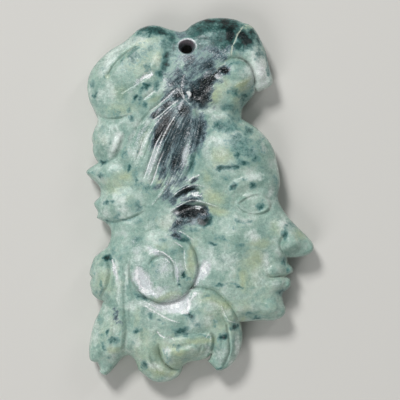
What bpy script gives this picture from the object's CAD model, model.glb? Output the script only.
import math
import random

import bpy
import numpy as np
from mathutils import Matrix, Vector, noise
from mathutils.geometry import delaunay_2d_cdt


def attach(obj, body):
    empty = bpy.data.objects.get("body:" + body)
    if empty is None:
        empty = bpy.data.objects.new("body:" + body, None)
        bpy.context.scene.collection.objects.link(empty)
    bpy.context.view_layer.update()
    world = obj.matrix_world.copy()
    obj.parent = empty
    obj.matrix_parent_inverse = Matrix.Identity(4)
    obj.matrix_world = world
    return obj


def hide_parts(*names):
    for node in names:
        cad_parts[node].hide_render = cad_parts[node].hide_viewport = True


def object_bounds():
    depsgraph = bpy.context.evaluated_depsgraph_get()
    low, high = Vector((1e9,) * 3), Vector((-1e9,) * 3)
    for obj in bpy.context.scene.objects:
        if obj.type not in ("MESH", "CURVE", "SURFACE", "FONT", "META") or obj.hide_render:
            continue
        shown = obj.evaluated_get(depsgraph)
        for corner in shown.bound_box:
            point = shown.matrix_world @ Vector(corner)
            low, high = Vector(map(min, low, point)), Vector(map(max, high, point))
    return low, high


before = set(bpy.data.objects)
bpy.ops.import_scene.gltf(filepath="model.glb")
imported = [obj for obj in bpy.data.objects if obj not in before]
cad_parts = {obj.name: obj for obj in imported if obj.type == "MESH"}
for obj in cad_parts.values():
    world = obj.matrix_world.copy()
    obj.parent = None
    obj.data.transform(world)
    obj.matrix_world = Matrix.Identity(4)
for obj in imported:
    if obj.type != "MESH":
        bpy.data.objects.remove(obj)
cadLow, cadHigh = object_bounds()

# A flat-backed jade pendant: a head in profile under a bird headdress, lying on its back.
# Plan places are in millimetres from the middle of the stone, +Y to the top of the headdress
# and +X to the tip of the nose. Heights are above the flat back.
mm = 0.001
batch = 4000                  # points worked on at once, which keeps the memory small


def linearColour(hexText):
    parts = [int(hexText[i:i + 2], 16) / 255 for i in (1, 3, 5)]
    return tuple(p / 12.92 if p <= 0.04045 else ((p + 0.055) / 1.055) ** 2.4 for p in parts) + (1.0,)


# The stone and its carving, in millimetres.
stone = {
    "edgeFront": 4.4,         # height where the rounded front meets the upright edge
    "edgeBack": 3.0,          # height where the upright edge meets the rounded back
    "field": 8.3,             # front surface between the carved forms
    "crownRise": 1.6,         # how much the middle of the stone stands above its shoulders
    "frontRounding": 3.0,     # how far in from the edge the front turns over
    "frontCrowning": 10.0,    # how far in from the edge it still rises
    "domeSoftness": 0.4,      # how evenly it does so, lower being softer
    "edgeSoftness": 1.4,      # the same for the turned edges
    "trueReach": 0.9,         # this far in from the edge the distance to it is kept true
    "leastDepth": 0.3,        # further in it is softened, down to this share of the true one at the least
    "backRounding": 2.4,
    "cutBottom": 0.12,        # radius that polishing leaves at the bottom of a cut
    "edgeStep": 0.25,         # spacing of points round the outline
    "frontStep": 0.225,       # spacing of points over the carved front
    "hairStep": 0.155,        # closer spacing where the hair is combed
    "backStep": 1.1,          # spacing of points over the plain back
    "frontRows": (0.04, 0.12, 0.25, 0.42, 0.62),   # rows of points that follow the rounded front edge
    "backRows": (0.08, 0.25, 0.6, 1.1, 1.7, 2.4),
    "chalkWidth": 0.16,       # how wide an abraded edge shows white
    "waves": ((4.2, 0.05, 3.1), (1.7, 0.025, 8.4)),     # the waves of hand grinding: size, height and seed
    "calmEdge": 1.2,          # marks die away this near the edge
    "endWidth": 0.4,          # share of its width that a cut keeps at its two ends
    "smoothAngle": 55,        # degrees, above which an edge stays sharp
}

# The face is laid out on the classic rule of three equal parts from hairline to chin.
face = {"hairline": 17.9, "chin": -26.6, "front": 17.6}
faceThird = (face["hairline"] - face["chin"]) / 3


def facePoint(forward, down):
    return (face["front"] + forward * faceThird, face["hairline"] - down * faceThird)


def faceLine(*places):
    return [facePoint(forward, down) for forward, down in places]


# The outline, clockwise from the notch above the hole. Each row is one smooth stretch between two corners.
throat = [(12.2, 24.4), (12.0, 23.5), (10.7, 21.9), (9.3, 20.1), (9.2, 17.9)]
rightLock = [(8.9, -26.8), (9.3, -29.2), (9.2, -31.5), (8.4, -34.0), (6.8, -36.2), (4.8, -37.4), (3.6, -37.5)]
faceProfile = [
    [throat[-1]] + faceLine((-0.32, 0.16), (-0.12, 0.4), (-0.03, 0.7), (0.0, 0.95), (-0.03, 1.15), (0.03, 1.32),
                            (0.17, 1.51), (0.33, 1.67), (0.44, 1.78), (0.5, 1.87), (0.49, 1.96), (0.41, 2.02),
                            (0.28, 2.05), (0.11, 2.06)),
    faceLine((0.11, 2.06), (0.12, 2.14), (0.18, 2.2), (0.19, 2.27), (0.09, 2.33)),
    faceLine((0.09, 2.33), (0.16, 2.39), (0.15, 2.49), (0.04, 2.59), (0.05, 2.71), (0.09, 2.83), (0.04, 2.93),
             (-0.1, 2.99), (-0.3, 2.99)) + [rightLock[0]],
]
outlineRuns = [
    # crown and beak
    [(-4.5, 37.0), (-3.2, 37.4), (-1.6, 38.7), (1.0, 39.8), (4.0, 40.1), (7.3, 39.8), (9.9, 38.9)],
    [(9.9, 38.9), (11.0, 38.5), (12.4, 37.0), (14.3, 33.1), (15.2, 29.6), (16.0, 26.4), (15.5, 25.2),
     (12.9, 24.0), (12.2, 24.4)],
    throat,
    *faceProfile,
    rightLock,
    [(3.6, -37.5), (2.8, -36.6), (1.6, -35.4)],
    [(1.6, -35.4), (2.1, -34.8), (2.4, -33.7)],
    # middle lock, bottom lock, bay and foot
    [(2.4, -33.7), (1.6, -34.6), (0.3, -35.1), (-1.4, -35.4), (-2.8, -35.8), (-3.8, -36.5)],
    [(-3.8, -36.5), (-4.1, -37.6), (-4.9, -38.7), (-6.4, -39.6), (-8.2, -40.0), (-10.3, -39.8),
     (-12.4, -38.4), (-13.7, -37.3)],
    [(-13.7, -37.3), (-14.1, -36.0), (-14.8, -34.8), (-15.9, -34.1), (-17.1, -34.6), (-18.5, -36.2),
     (-20.2, -38.1), (-21.3, -38.5), (-22.4, -37.8)],
    [(-22.4, -37.8), (-22.2, -37.0), (-22.7, -35.7)],
    [(-22.7, -35.7), (-23.8, -35.5), (-24.5, -34.6), (-24.5, -31.5), (-23.6, -27.4), (-22.3, -24.4),
     (-21.5, -22.2)],
    # tassel, feathers and scroll
    [(-21.5, -22.2), (-22.6, -21.8), (-23.8, -20.7), (-24.2, -19.4), (-24.4, -18.2), (-24.0, -17.0)],
    [(-24.0, -17.0), (-24.5, -16.2), (-24.3, -15.0), (-23.5, -12.7), (-22.3, -11.6), (-20.5, -10.2)],
    [(-20.5, -10.2), (-19.9, -8.6), (-19.8, -6.6), (-20.8, -5.1), (-22.9, -3.9)],
    [(-22.9, -3.9), (-22.7, -2.6), (-23.4, -1.2), (-23.4, -0.4), (-22.1, 0.9)],
    [(-22.1, 0.9), (-22.1, 2.4), (-22.9, 3.7), (-24.2, 4.8), (-25.2, 6.0), (-24.8, 6.8), (-22.6, 8.3)],
    [(-22.6, 8.3), (-23.4, 9.6), (-23.8, 11.0), (-23.7, 12.2)],
    [(-23.7, 12.2), (-24.0, 13.6), (-23.5, 15.4), (-22.8, 17.0), (-22.7, 18.0)],
    [(-22.7, 18.0), (-23.6, 19.9), (-24.6, 22.2), (-25.0, 25.2), (-24.3, 28.1), (-22.5, 30.6),
     (-20.0, 32.9), (-17.0, 34.7), (-15.2, 36.2)],
    [(-15.2, 36.2), (-13.9, 37.4), (-11.8, 38.3), (-9.4, 38.4), (-6.9, 37.6), (-4.5, 37.0)],
]


def smoothRun(points, step=0.25):       # a curve through the points, sampled every step
    points = np.asarray(points, float)
    if len(points) == 2:
        count = max(2, int(round(np.linalg.norm(points[1] - points[0]) / step)) + 1)
        return np.linspace(points[0], points[1], count)
    ends = np.vstack([2 * points[0] - points[1], points, 2 * points[-1] - points[-2]])
    samples = []
    for a, b, c, d in zip(ends[:-3], ends[1:-2], ends[2:-1], ends[3:]):
        count = max(2, math.ceil(np.linalg.norm(c - b) / step))
        t = (np.arange(count) / count)[:, None]
        bend = (2 * a - 5 * b + 4 * c - d) * t**2 + (3 * b - a - 3 * c + d) * t**3
        samples.append(0.5 * (2 * b + (c - a) * t + bend))
    return np.vstack([*samples, points[-1:]])


def respaced(path, step):               # the same path with even spacing, keeping both ends
    along = np.concatenate([[0], np.cumsum(np.linalg.norm(np.diff(path, axis=0), axis=1))])
    target = np.linspace(0, along[-1], max(2, int(round(along[-1] / step)) + 1))
    return np.stack([np.interp(target, along, path[:, i]) for i in (0, 1)], 1)


def arc(centre, radii, start, end):     # degrees, anticlockwise when end is greater than start
    turn = np.radians(np.linspace(start, end, max(3, int(abs(end - start) / 4))))
    return np.stack([centre[0] + radii[0] * np.cos(turn), centre[1] + radii[1] * np.sin(turn)], 1)


# Two kinds of mark make all the carving. A swell raises or hollows an ellipse; a lower fullness has a
# steeper shoulder. A cut sinks a line, or raises it when its depth is negative, with a width on the left
# and one on the right of the way it runs, and it thins out over its two fade lengths. Chalk says how
# white its abraded bottom is, and grime how dark it is where polish and dirt have packed.
def swell(x, y, wide, tall, rise, turn=0, fullness=2.0):
    return {"centre": (x, y), "radii": (wide, tall), "rise": rise, "turn": turn, "fullness": fullness}


def cut(points, depth, left, right, fade=(2.5, 2.5), soft=False, chalk=0.0, grime=0.0):
    return {"path": points, "depth": depth, "left": left, "right": right, "fade": fade, "soft": soft,
            "chalk": chalk, "grime": grime}


spool = {"centre": (-7.9, -14.5), "radii": (7.4, 7.7)}
eye = facePoint(-0.4, 1.27)

# The hair fans out from the knot: each row is one guide, from the outermost to the one at the temple.
hairGuides = [
    [(-5.3, 23.8), (-7.7, 21.8), (-10.6, 19.4), (-13.2, 16.7), (-15.4, 13.2), (-16.3, 9.2)],
    [(-4.4, 22.0), (-7.0, 19.8), (-9.7, 17.6), (-12.1, 14.5), (-13.6, 11.0), (-15.0, 7.0)],
    [(-3.5, 20.7), (-5.7, 18.9), (-7.9, 15.8), (-9.7, 11.9), (-11.0, 7.9), (-12.5, 4.0)],
    [(-2.6, 19.8), (-4.2, 17.2), (-5.9, 13.6), (-7.5, 9.7), (-9.0, 5.7), (-11.0, 1.8)],
    [(-1.3, 19.4), (-2.2, 15.8), (-3.5, 11.9), (-5.1, 7.9), (-6.8, 4.0), (-9.5, 0.0)],
    [(0.0, 18.9), (0.2, 15.4), (-0.7, 11.9), (-2.2, 7.9), (-4.0, 4.4), (-6.6, 0.9)],
]
hair = {
    "strands": 40, "seed": 11,
    # millimetres
    "depths": (0.1, 0.32), "leftWidth": 0.24, "rightWidths": (0.3, 0.55), "fades": (1.5, 8.0),
    # how bright a strand's edge can be, from the outermost strands to those by the temple
    "chalks": ((0.12, (0.0, 0.0, 0.4)), (0.3, (0.0, 0.55, 0.85)),
               (0.5, (0.0, 0.0, 0.0, 1.1)), (1.0, (0.0, 0.0, 0.0, 0.5))),
    "pitch": 3.0, "blend": 1.6,             # between two guides, and how wide the fan's edge is blended
}


def strand(across):                     # one line of hair, 0 to 1 from the outer side to the temple
    place = across * (len(hairGuides) - 1)
    first = min(int(place), len(hairGuides) - 2)
    share = place - first
    return [((1 - share) * a[0] + share * b[0], (1 - share) * a[1] + share * b[1])
            for a, b in zip(hairGuides[first], hairGuides[first + 1])]


def combedStrands():
    chance = random.Random(hair["seed"])
    strands = []
    for i in range(hair["strands"]):
        across = (i + chance.uniform(0.2, 0.8)) / hair["strands"]
        chalk = chance.choice(next(choices for limit, choices in hair["chalks"] if across < limit))
        strands.append(cut(strand(across), chance.uniform(*hair["depths"]), hair["leftWidth"],
                           chance.uniform(*hair["rightWidths"]), chalk=chalk,
                           fade=(chance.uniform(*hair["fades"]), chance.uniform(*hair["fades"]))))
    return strands


carving = {
    "bird": [
        swell(2.2, 31.6, 11.4, 9.4, 0.6, fullness=1.0),
        swell(13.0, 30.6, 3.8, 8.4, 0.9, turn=14),
        cut([(4.8, 29.2), (6.6, 30.5), (8.8, 30.6), (10.8, 29.0), (11.7, 26.8), (12.0, 24.5)], 1.4, 1.5, 0.6,
            fade=(6.5, 0.1)),
        swell(8.5, 26.8, 3.5, 3.5, 1.3, fullness=0.8),
        swell(7.6, 22.4, 4.0, 4.4, 0.6, turn=-12),
        cut([(7.0, 24.4), (8.4, 25.2), (10.4, 26.0)], -0.22, 0.35, 0.35, fade=(1, 1), chalk=0.7),
        cut([(7.9, 23.7), (9.2, 24.1), (10.9, 25.1)], -0.22, 0.3, 0.35, fade=(1, 1), chalk=0.6),
        cut([(-1.4, 24.6), (0.8, 25.9), (2.6, 27.1), (4.4, 28.9)], 0.35, 1.2, 2.8, fade=(2, 2), soft=True),
        swell(4.4, 28.0, 0.9, 0.8, -0.6, turn=30),
        swell(3.9, 26.9, 0.8, 0.5, 0.5, turn=20),
        swell(-0.4, 22.8, 2.2, 2.0, -0.15, turn=20),
        swell(3.4, 22.8, 5.4, 2.4, 0.4, turn=30),
        cut([(-0.9, 20.8), (2.2, 19.9), (6.2, 19.6), (9.2, 17.9)], 0.5, 1.8, 1.8, fade=(2, 0.1), soft=True),
        cut([(10.6, 38.3), (9.2, 37.6), (8.1, 36.5), (7.7, 35.5), (7.4, 34.5), (6.8, 33.4), (6.7, 32.1),
            (6.8, 30.9)], 0.2, 0.3, 0.3, fade=(0.1, 1)),
        cut([(6.8, 30.9), (5.7, 30.1), (4.8, 29.4), (3.7, 28.4), (2.2, 26.8)], 0.2, 0.25, 0.5, fade=(0.3, 2),
            chalk=0.45),
    ],
    "knot": [
        cut([(-3.7, 26.4), (-4.0, 24.6), (-3.8, 23.2), (-3.2, 22.0)], 0.6, 0.5, 0.4, fade=(1, 0.5), chalk=0.9),
        cut([(-5.1, 24.6), (-4.2, 23.1), (-3.3, 21.8), (-2.2, 20.8)], 0.9, 0.5, 0.6, chalk=1.0, fade=(0.8, 1)),
        swell(-2.2, 23.0, 0.55, 1.4, 0.9, turn=10, fullness=1.0),
        cut([(-1.5, 24.2), (-1.3, 23.0), (-1.6, 22.0)], 0.6, 0.5, 0.4, fade=(0.7, 0.7)),
        cut([(-4.6, 24.4), (-5.9, 23.4), (-7.4, 22.0), (-8.8, 20.8), (-9.9, 19.9), (-11.1, 19.1)], 0.8, 0.4,
            0.8, fade=(1.5, 1.2), chalk=1.2),
        cut([(-7.0, 23.6), (-8.2, 22.3), (-9.9, 21.0)], 0.35, 0.4, 0.6, fade=(1.5, 1.5), chalk=0.25),
        cut([(-4.5, 21.8), (-6.2, 20.5), (-7.6, 19.3), (-9.0, 18.1), (-10.4, 17.3)], 0.8, 0.4, 0.8, fade=(1, 1),
            chalk=1.2),
        cut([(-6.5, 19.4), (-7.7, 18.5), (-8.8, 17.6)], 0.5, 0.35, 0.6, fade=(1, 1), chalk=0.9),
        swell(-5.9, 20.9, 1.2, 0.5, 0.4, turn=12),
    ],
    "scroll": [
        swell(-16.0, 26.6, 10.4, 9.6, 0.5, turn=40),
        cut([(-21.4, 25.4), (-21.2, 28.4), (-19.7, 30.9), (-17.6, 32.7), (-15.0, 34.2), (-12.1, 34.8)],
            -0.5, 2.0, 1.4, fade=(4, 5), soft=True),
        cut([(-20.2, 26.6), (-19.7, 27.8), (-18.7, 29.3), (-17.3, 30.9), (-15.7, 32.2), (-14.0, 33.2),
            (-12.3, 33.8)], 0.55, 0.5, 1.4, fade=(2, 5), grime=0.85),
        cut([(-10.2, 27.7), (-11.7, 26.7), (-13.2, 25.4)], 0.8, 0.6, 1.2, fade=(1.2, 1.6), chalk=1.0),
        cut([(-13.2, 25.4), (-15.0, 24.4), (-17.6, 22.9)], 0.3, 0.4, 0.6, fade=(1.5, 1.5), chalk=0.2),
        cut([(-4.9, 37.0), (-6.0, 32.2), (-8.0, 27.6), (-10.4, 23.6)], 0.45, 3.4, 3.0, fade=(0.1, 4),
            soft=True),
        cut([(-9.6, 23.9), (-11.0, 22.7), (-12.4, 21.6)], 0.7, 0.4, 0.8, fade=(1.2, 1.2), chalk=1.1),
        cut([(-7.7, 26.6), (-8.1, 25.2)], 0.25, 0.3, 0.4, fade=(0.5, 0.5), chalk=0.6),
        swell(-9.4, 30.4, 1.4, 2.2, 0.15, turn=-20),
    ],
    "hair": [
        swell(-8.4, 11.2, 7.0, 11.6, 0.9, turn=-30),
        *combedStrands(),
        cut([(-10.6, 19.0), (-12.8, 16.6), (-14.4, 13.6), (-15.3, 10.0)], 0.4, 0.5, 0.9, fade=(3, 3),
            chalk=0.3),
        cut([(-11.9, 14.3), (-12.5, 12.1), (-13.2, 9.9), (-13.9, 8.1)], 0.6, 0.35, 0.7, fade=(2, 2), chalk=0.9),
        cut([(-10.4, 17.0), (-11.6, 14.4), (-12.9, 11.2), (-14.2, 7.2)], 0.5, 0.4, 0.7, fade=(3, 3), chalk=0.4),
        cut([(-9.2, 16.4), (-10.4, 13.4), (-11.4, 10.6), (-12.6, 7.6)], 0.5, 0.4, 0.7, fade=(3, 3), chalk=0.5),
        cut([(-8.0, 15.0), (-8.7, 13.6), (-9.5, 12.1), (-10.2, 10.1), (-10.9, 8.1), (-11.6, 6.2), (-12.2, 4.6)],
            0.9, 0.35, 0.8, fade=(2.5, 1.6), chalk=1.25),
        cut([(-7.8, 10.6), (-8.8, 8.4), (-9.5, 6.2), (-10.1, 4.4), (-10.8, 3.0)], 1.0, 0.4, 1.0,
            fade=(1.5, 1.4), chalk=1.3),
        cut([(-6.0, 15.0), (-7.2, 12.2), (-8.2, 9.6), (-9.1, 6.6)], 0.5, 0.35, 0.7, fade=(3, 2), grime=0.9),
        cut([(-4.8, 15.8), (-5.8, 13.2), (-6.7, 10.8), (-7.6, 8.0)], 0.6, 0.4, 0.8, fade=(3, 2), grime=0.8),
        cut([(-2.3, 13.4), (-3.2, 11.4), (-3.9, 9.4), (-4.3, 7.4)], 0.7, 0.5, 1.1, fade=(2, 2), chalk=0.3),
        cut([(-3.6, 13.8), (-4.4, 11.0), (-5.2, 8.0), (-6.2, 5.8)], 0.6, 0.4, 0.8, fade=(3, 3), grime=0.8),
        cut([(-1.0, 20.2), (0.3, 15.6), (-0.4, 11.4), (-1.9, 7.2), (-3.8, 3.6)], 0.6, 1.5, 0.8, fade=(1, 3)),
        cut([(-5.9, 4.8), (-7.3, 2.8), (-8.8, 0.8), (-10.6, -1.3)], -0.35, 0.45, 0.5, fade=(2, 1), chalk=0.9),
        cut([(-4.9, 7.8), (-5.9, 5.6), (-6.7, 3.4), (-8.2, 1.2)], 0.5, 0.6, 0.5, fade=(2, 2), chalk=0.4),
    ],
    "feathers": [
        cut([(-22.7, 18.7), (-21.6, 18.2), (-20.2, 17.8), (-17.4, 17.8), (-14.6, 18.8)], 0.8, 0.5, 1.6,
            fade=(0.1, 5)),
        swell(-20.6, 13.4, 4.4, 5.2, 1.1, turn=-6, fullness=1.4),
        cut([(-17.3, 14.0), (-18.1, 12.2), (-19.3, 9.8)], -0.45, 1.1, 1.1, fade=(1.5, 1.5), soft=True),
        cut([(-16.4, 14.6), (-16.8, 12.4), (-18.0, 9.6), (-19.4, 8.4)], 0.5, 1.0, 0.8, fade=(2, 2), soft=True),
        cut([(-23.8, 12.3), (-22.6, 12.3), (-21.4, 11.8)], 0.35, 0.5, 0.5, fade=(0.1, 1.2)),
        cut([(-22.6, 8.5), (-21.2, 8.2), (-19.9, 8.3), (-18.8, 8.9)], 0.6, 0.6, 1.2, fade=(0.1, 2)),
        swell(-18.7, 15.6, 0.7, 0.4, 0.2),
        swell(-20.8, 5.5, 5.6, 2.9, 0.7, turn=-8, fullness=1.4),
        cut([(-22.1, 0.9), (-20.4, 1.8), (-18.6, 2.0)], 0.4, 1.0, 1.0, fade=(0.1, 2.5), soft=True),
        swell(-17.6, -1.0, 6.2, 3.9, 0.9, turn=12, fullness=1.4),
        cut([(-23.5, -1.9), (-22.2, -2.2), (-21.0, -1.8)], 0.45, 0.4, 0.6, fade=(0.1, 0.8)),
        cut([(-22.9, -3.9), (-21.1, -4.5), (-19.2, -4.9), (-16.4, -4.3), (-14.5, -3.7), (-12.8, -2.9),
            (-11.6, -1.9)], 0.6, 0.5, 1.8, fade=(0.1, 3.5)),
        cut([(-11.9, -0.8), (-11.2, -2.2), (-11.4, -3.4)], 0.3, 0.4, 0.6, fade=(0.8, 0.8)),
        swell(-17.0, -8.4, 3.4, 3.6, -0.4),
    ],
    "column": [
        swell(-21.8, -16.4, 3.4, 6.0, 1.0, fullness=1.3),
        cut([(-20.4, -10.4), (-19.9, -12.6), (-19.4, -15.2), (-19.8, -18.2), (-21.0, -20.6), (-21.8, -22.2)],
            0.8, 0.6, 1.2, fade=(0.1, 1.5)),
        cut([(-19.2, -12.7), (-18.6, -14.1), (-18.1, -15.6), (-17.9, -18.0)], -0.35, 0.4, 0.8, fade=(1, 2.5),
            chalk=1.3),
        cut([(-22.6, -12.8), (-22.6, -15.6), (-23.0, -18.4)], 0.25, 0.6, 0.9, fade=(1.5, 1.5), soft=True),
        cut([(-24.2, -17.0), (-22.8, -17.2)], 0.3, 0.5, 0.5, fade=(0.1, 0.8), soft=True),
        swell(-18.6, -27.0, 5.4, 11.0, 0.5, turn=8),
        cut([(-17.9, -19.4), (-18.4, -25.0), (-18.8, -29.4), (-19.4, -33.6)], 0.3, 0.6, 0.6, fade=(4, 4),
            soft=True),
        cut([(-16.9, -13.4), (-17.2, -17.4), (-17.0, -22.4), (-17.0, -27.4), (-17.2, -33.0)], -0.3, 0.6, 0.6,
            fade=(4, 4), soft=True),
        cut([(-16.2, -15.4), (-16.2, -21.4), (-16.0, -27.4), (-16.4, -33.0)], 0.3, 0.5, 0.5, fade=(4, 4),
            soft=True),
        cut([(-15.7, -13.4), (-15.5, -18.2), (-14.8, -21.8), (-14.2, -25.0)], -0.35, 0.4, 0.6, fade=(2, 3),
            chalk=0.3),
        cut([(-15.0, -22.0), (-15.4, -27.6), (-16.6, -33.6)], 0.4, 1.0, 0.9, fade=(4, 0.1), soft=True),
    ],
    "spool": [
        swell(*spool["centre"], 7.9, 8.2, 1.4, fullness=0.7),
        cut(arc(spool["centre"], spool["radii"], 150, 420), 1.0, 0.5, 2.0, fade=(6, 6)),
        cut([(-6.2, -6.7), (-4.6, -6.7), (-3.0, -7.5), (-1.3, -8.8)], -0.25, 0.4, 0.4, fade=(1, 1), chalk=0.9),
        cut([(-2.4, -17.2), (-2.8, -15.4), (-3.2, -13.9), (-3.4, -12.2), (-3.5, -10.9), (-4.6, -9.7),
            (-6.2, -8.8)], 0.7, 2.2, 0.35, fade=(1, 3.5)),
        cut([(-2.8, -15.5), (-3.2, -13.9), (-3.4, -12.2), (-3.4, -10.7)], -0.2, 0.25, 0.25, fade=(0.8, 0.5),
            chalk=1.0),
        cut([(-3.7, -10.2), (-4.6, -9.6), (-5.7, -9.0)], -0.2, 0.25, 0.3, fade=(0.3, 0.6), chalk=1.1),
        cut([(-10.8, -14.4), (-10.5, -13.4), (-9.4, -12.5), (-8.1, -12.2), (-6.9, -12.7), (-5.9, -13.9),
            (-5.6, -15.2), (-5.6, -16.6), (-5.2, -18.2)], 0.95, 0.9, 0.45, fade=(1.8, 1.5)),
        cut([(-11.4, -11.9), (-9.9, -11.1), (-8.6, -11.1), (-7.4, -11.7), (-6.3, -12.6), (-5.5, -13.8)], -0.4,
            0.6, 0.5, fade=(2, 0.6), chalk=1.2),
        cut([(-8.3, -12.7), (-7.4, -12.8), (-6.4, -13.6)], -0.2, 0.25, 0.25, fade=(0.6, 0.3), chalk=1.1),
        swell(-4.9, -16.0, 0.7, 2.2, 0.3, turn=4),
        swell(-3.4, -16.2, 0.7, 0.6, -0.5, turn=-30),
        swell(-4.6, -18.6, 0.4, 0.4, -0.4),
        swell(-11.9, -17.5, 2.0, 3.7, -0.8, turn=34, fullness=1.0),
        cut([(-13.7, -15.6), (-13.4, -17.4), (-12.7, -18.7), (-11.9, -19.4), (-10.7, -19.7)], -0.2, 0.35, 0.3,
            fade=(1.5, 0.8), chalk=1.2),
        cut([(-11.9, -16.4), (-11.0, -17.3), (-10.8, -18.7), (-10.2, -19.7), (-9.2, -20.5)], 0.35, 0.35, 0.4,
            fade=(0.8, 0.5), chalk=0.8),
        swell(0.6, -15.2, 1.4, 2.4, -0.7, turn=-20, fullness=1.2),
        swell(-5.4, -22.9, 5.8, 2.2, -0.9, turn=10, fullness=1.2),
        cut([(-13.0, -22.2), (-10.6, -23.7), (-8.5, -24.9), (-6.5, -25.9), (-4.1, -26.7)], -0.35, 0.35, 0.8,
            fade=(3, 2), chalk=1.15),
        cut([(-12.2, -21.9), (-10.2, -22.9), (-7.8, -23.7)], -0.2, 0.3, 0.4, fade=(1, 1), chalk=1.1),
        cut([(-3.8, -24.7), (-2.7, -23.8), (-2.2, -22.0), (-1.3, -20.7), (-0.6, -19.8)], -0.4, 0.5, 0.5,
            fade=(0.8, 1.5), chalk=1.3),
        cut([(-4.4, -21.2), (-2.6, -19.9), (-1.2, -18.7), (0.0, -17.4)], -0.25, 0.4, 0.4, fade=(1.5, 1),
            chalk=0.9),
    ],
    "ear": [
        swell(-2.0, -3.2, 4.0, 3.2, -1.1, turn=-8, fullness=1.0),
        cut([(-5.6, -2.6), (-3.7, -1.5), (-1.8, -1.0), (-0.2, -0.8), (1.2, -1.4), (1.9, -3.0)], 0.9, 0.4, 1.6,
            fade=(1, 1.5)),
        cut([(-6.5, -2.6), (-5.1, -1.6), (-4.0, -1.0), (-2.9, -0.4), (-2.0, -0.1), (-0.9, -0.1), (0.4, -0.4),
            (2.2, -0.9), (5.0, -2.0)], -0.7, 0.55, 0.6, fade=(0.8, 5), soft=True, chalk=1.0),
        cut([(-1.3, -1.3), (-0.4, -1.4), (0.6, -1.7)], -0.3, 0.25, 0.25, fade=(0.5, 0.5), chalk=1.3),
        swell(-5.0, -2.5, 0.6, 0.6, 0.4),
        cut([(-5.8, 0.5), (-4.2, 1.5), (-2.4, 2.4), (-0.6, 2.4), (0.5, 1.6)], 1.1, 0.4, 1.8, fade=(1.5, 1.0)),
        cut([(-5.9, 0.9), (-4.8, 1.7), (-3.7, 2.35), (-2.4, 2.95), (-1.2, 3.3), (0.2, 3.1), (1.9, 2.6)], -0.6,
            0.5, 0.5, fade=(0.8, 4), soft=True, chalk=1.0),
        cut([(-2.0, 1.35), (-1.0, 1.55), (-0.1, 1.65)], -0.3, 0.25, 0.25, fade=(0.5, 0.3), chalk=1.4),
        cut([(-2.7, 3.4), (-1.6, 3.9), (-0.4, 4.6)], 0.6, 0.4, 0.8, fade=(0.8, 0.8)),
        cut([(-2.7, 3.9), (-1.8, 4.7), (-0.9, 5.1), (0.1, 5.5)], -0.35, 0.35, 0.35, fade=(0.6, 0.4), chalk=1.1),
    ],
    "face": [
        swell(*facePoint(-0.55, 0.5), 9.4, 7.8, 1.5, turn=-20),
        cut(faceLine((0.02, 1.0), (-0.25, 0.92), (-0.52, 0.95), (-0.78, 1.08)), -0.6, 2.0, 2.0, fade=(0.5, 3),
            soft=True),
        swell(*eye, 5.6, 3.2, -1.5, turn=-3),
        swell(*eye, 3.8, 2.1, 1.7, turn=-3, fullness=0.8),
        *[cut([(eye[0] + 3.9, eye[1] - 0.3), (eye[0] + 1.5, eye[1] + lift * 0.95),
               (eye[0] - 1.0, eye[1] + lift), (eye[0] - 4.0, eye[1] + 0.2)],
              depth, 0.55, 0.55, fade=(1, 1), soft=True)
          for lift, depth in ((2.05, -0.75), (-1.85, -0.5))],
        swell(*facePoint(-0.62, 1.8), 8.2, 7.6, 1.2),
        swell(*facePoint(0.14, 1.6), 5.4, 3.4, 0.9, turn=-52),
        swell(*facePoint(0.16, 1.87), 2.1, 1.8, 0.9, fullness=1.0),
        cut(faceLine((0.12, 1.68), (0.01, 1.78), (0.0, 1.93), (0.12, 2.05)), 0.8, 1.0, 0.7),
        swell(*facePoint(0.04, 2.22), 3.8, 1.7, 0.7, turn=4, fullness=1.2),
        swell(*facePoint(0.02, 2.46), 3.4, 1.7, 0.8, turn=-4, fullness=1.2),
        cut(faceLine((0.15, 2.33), (0.0, 2.325), (-0.13, 2.34), (-0.22, 2.3)), 1.0, 0.8, 0.8, fade=(0.1, 1.5)),
        swell(*facePoint(-0.08, 2.8), 3.8, 3.0, 0.9),
    ],
    "locks": [
        cut([(-3.1, -19.4), (-1.5, -19.1), (0.0, -19.1), (1.5, -19.4), (2.9, -19.8), (4.8, -21.3), (6.4, -23.1),
             (7.5, -24.8), (8.2, -26.2), (9.0, -27.1)], 0.9, 1.4, 0.5, fade=(2, 0.1)),
        cut([(4.6, -19.2), (5.8, -21.2), (6.8, -23.4)], -0.2, 0.3, 0.3, fade=(1, 1), chalk=0.25),
        cut([(4.4, -22.4), (5.2, -24.4), (6.2, -26.1), (7.9, -26.7)], -0.3, 0.35, 0.45, fade=(1, 1), chalk=0.9),
        cut([(1.0, -30.3), (1.7, -29.4), (2.2, -29.2), (2.4, -31.2)], -0.2, 0.3, 0.3, fade=(0.8, 0.8),
            chalk=0.8),
        cut([(-9.4, -28.3), (-8.6, -29.3), (-7.5, -29.9)], 0.5, 0.4, 0.7, fade=(0.5, 0.5), chalk=1.5),
        cut([(-6.3, -29.6), (-5.2, -30.9)], 0.3, 0.3, 0.5, fade=(0.5, 0.5), chalk=0.8),
        swell(1.2, -24.4, 5.0, 4.6, 1.0, turn=-20),
        swell(5.6, -30.6, 4.0, 7.4, 0.8, turn=8),
        cut([(0.2, -22.0), (2.6, -22.6), (4.8, -24.4), (5.6, -27.0)], 0.35, 0.7, 0.7, soft=True),
        cut([(1.0, -24.6), (2.8, -25.6), (3.8, -27.6)], 0.35, 0.6, 0.6, soft=True),
        cut([(-0.6, -20.6), (1.2, -21.2), (2.4, -22.6)], 0.25, 0.4, 0.5, soft=True),
        cut([(5.7, -26.2), (6.2, -28.6), (6.5, -30.8), (6.5, -33.0), (5.9, -34.8), (5.1, -36.9)], 0.9, 0.45,
            0.7, fade=(2, 0.5)),
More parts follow.
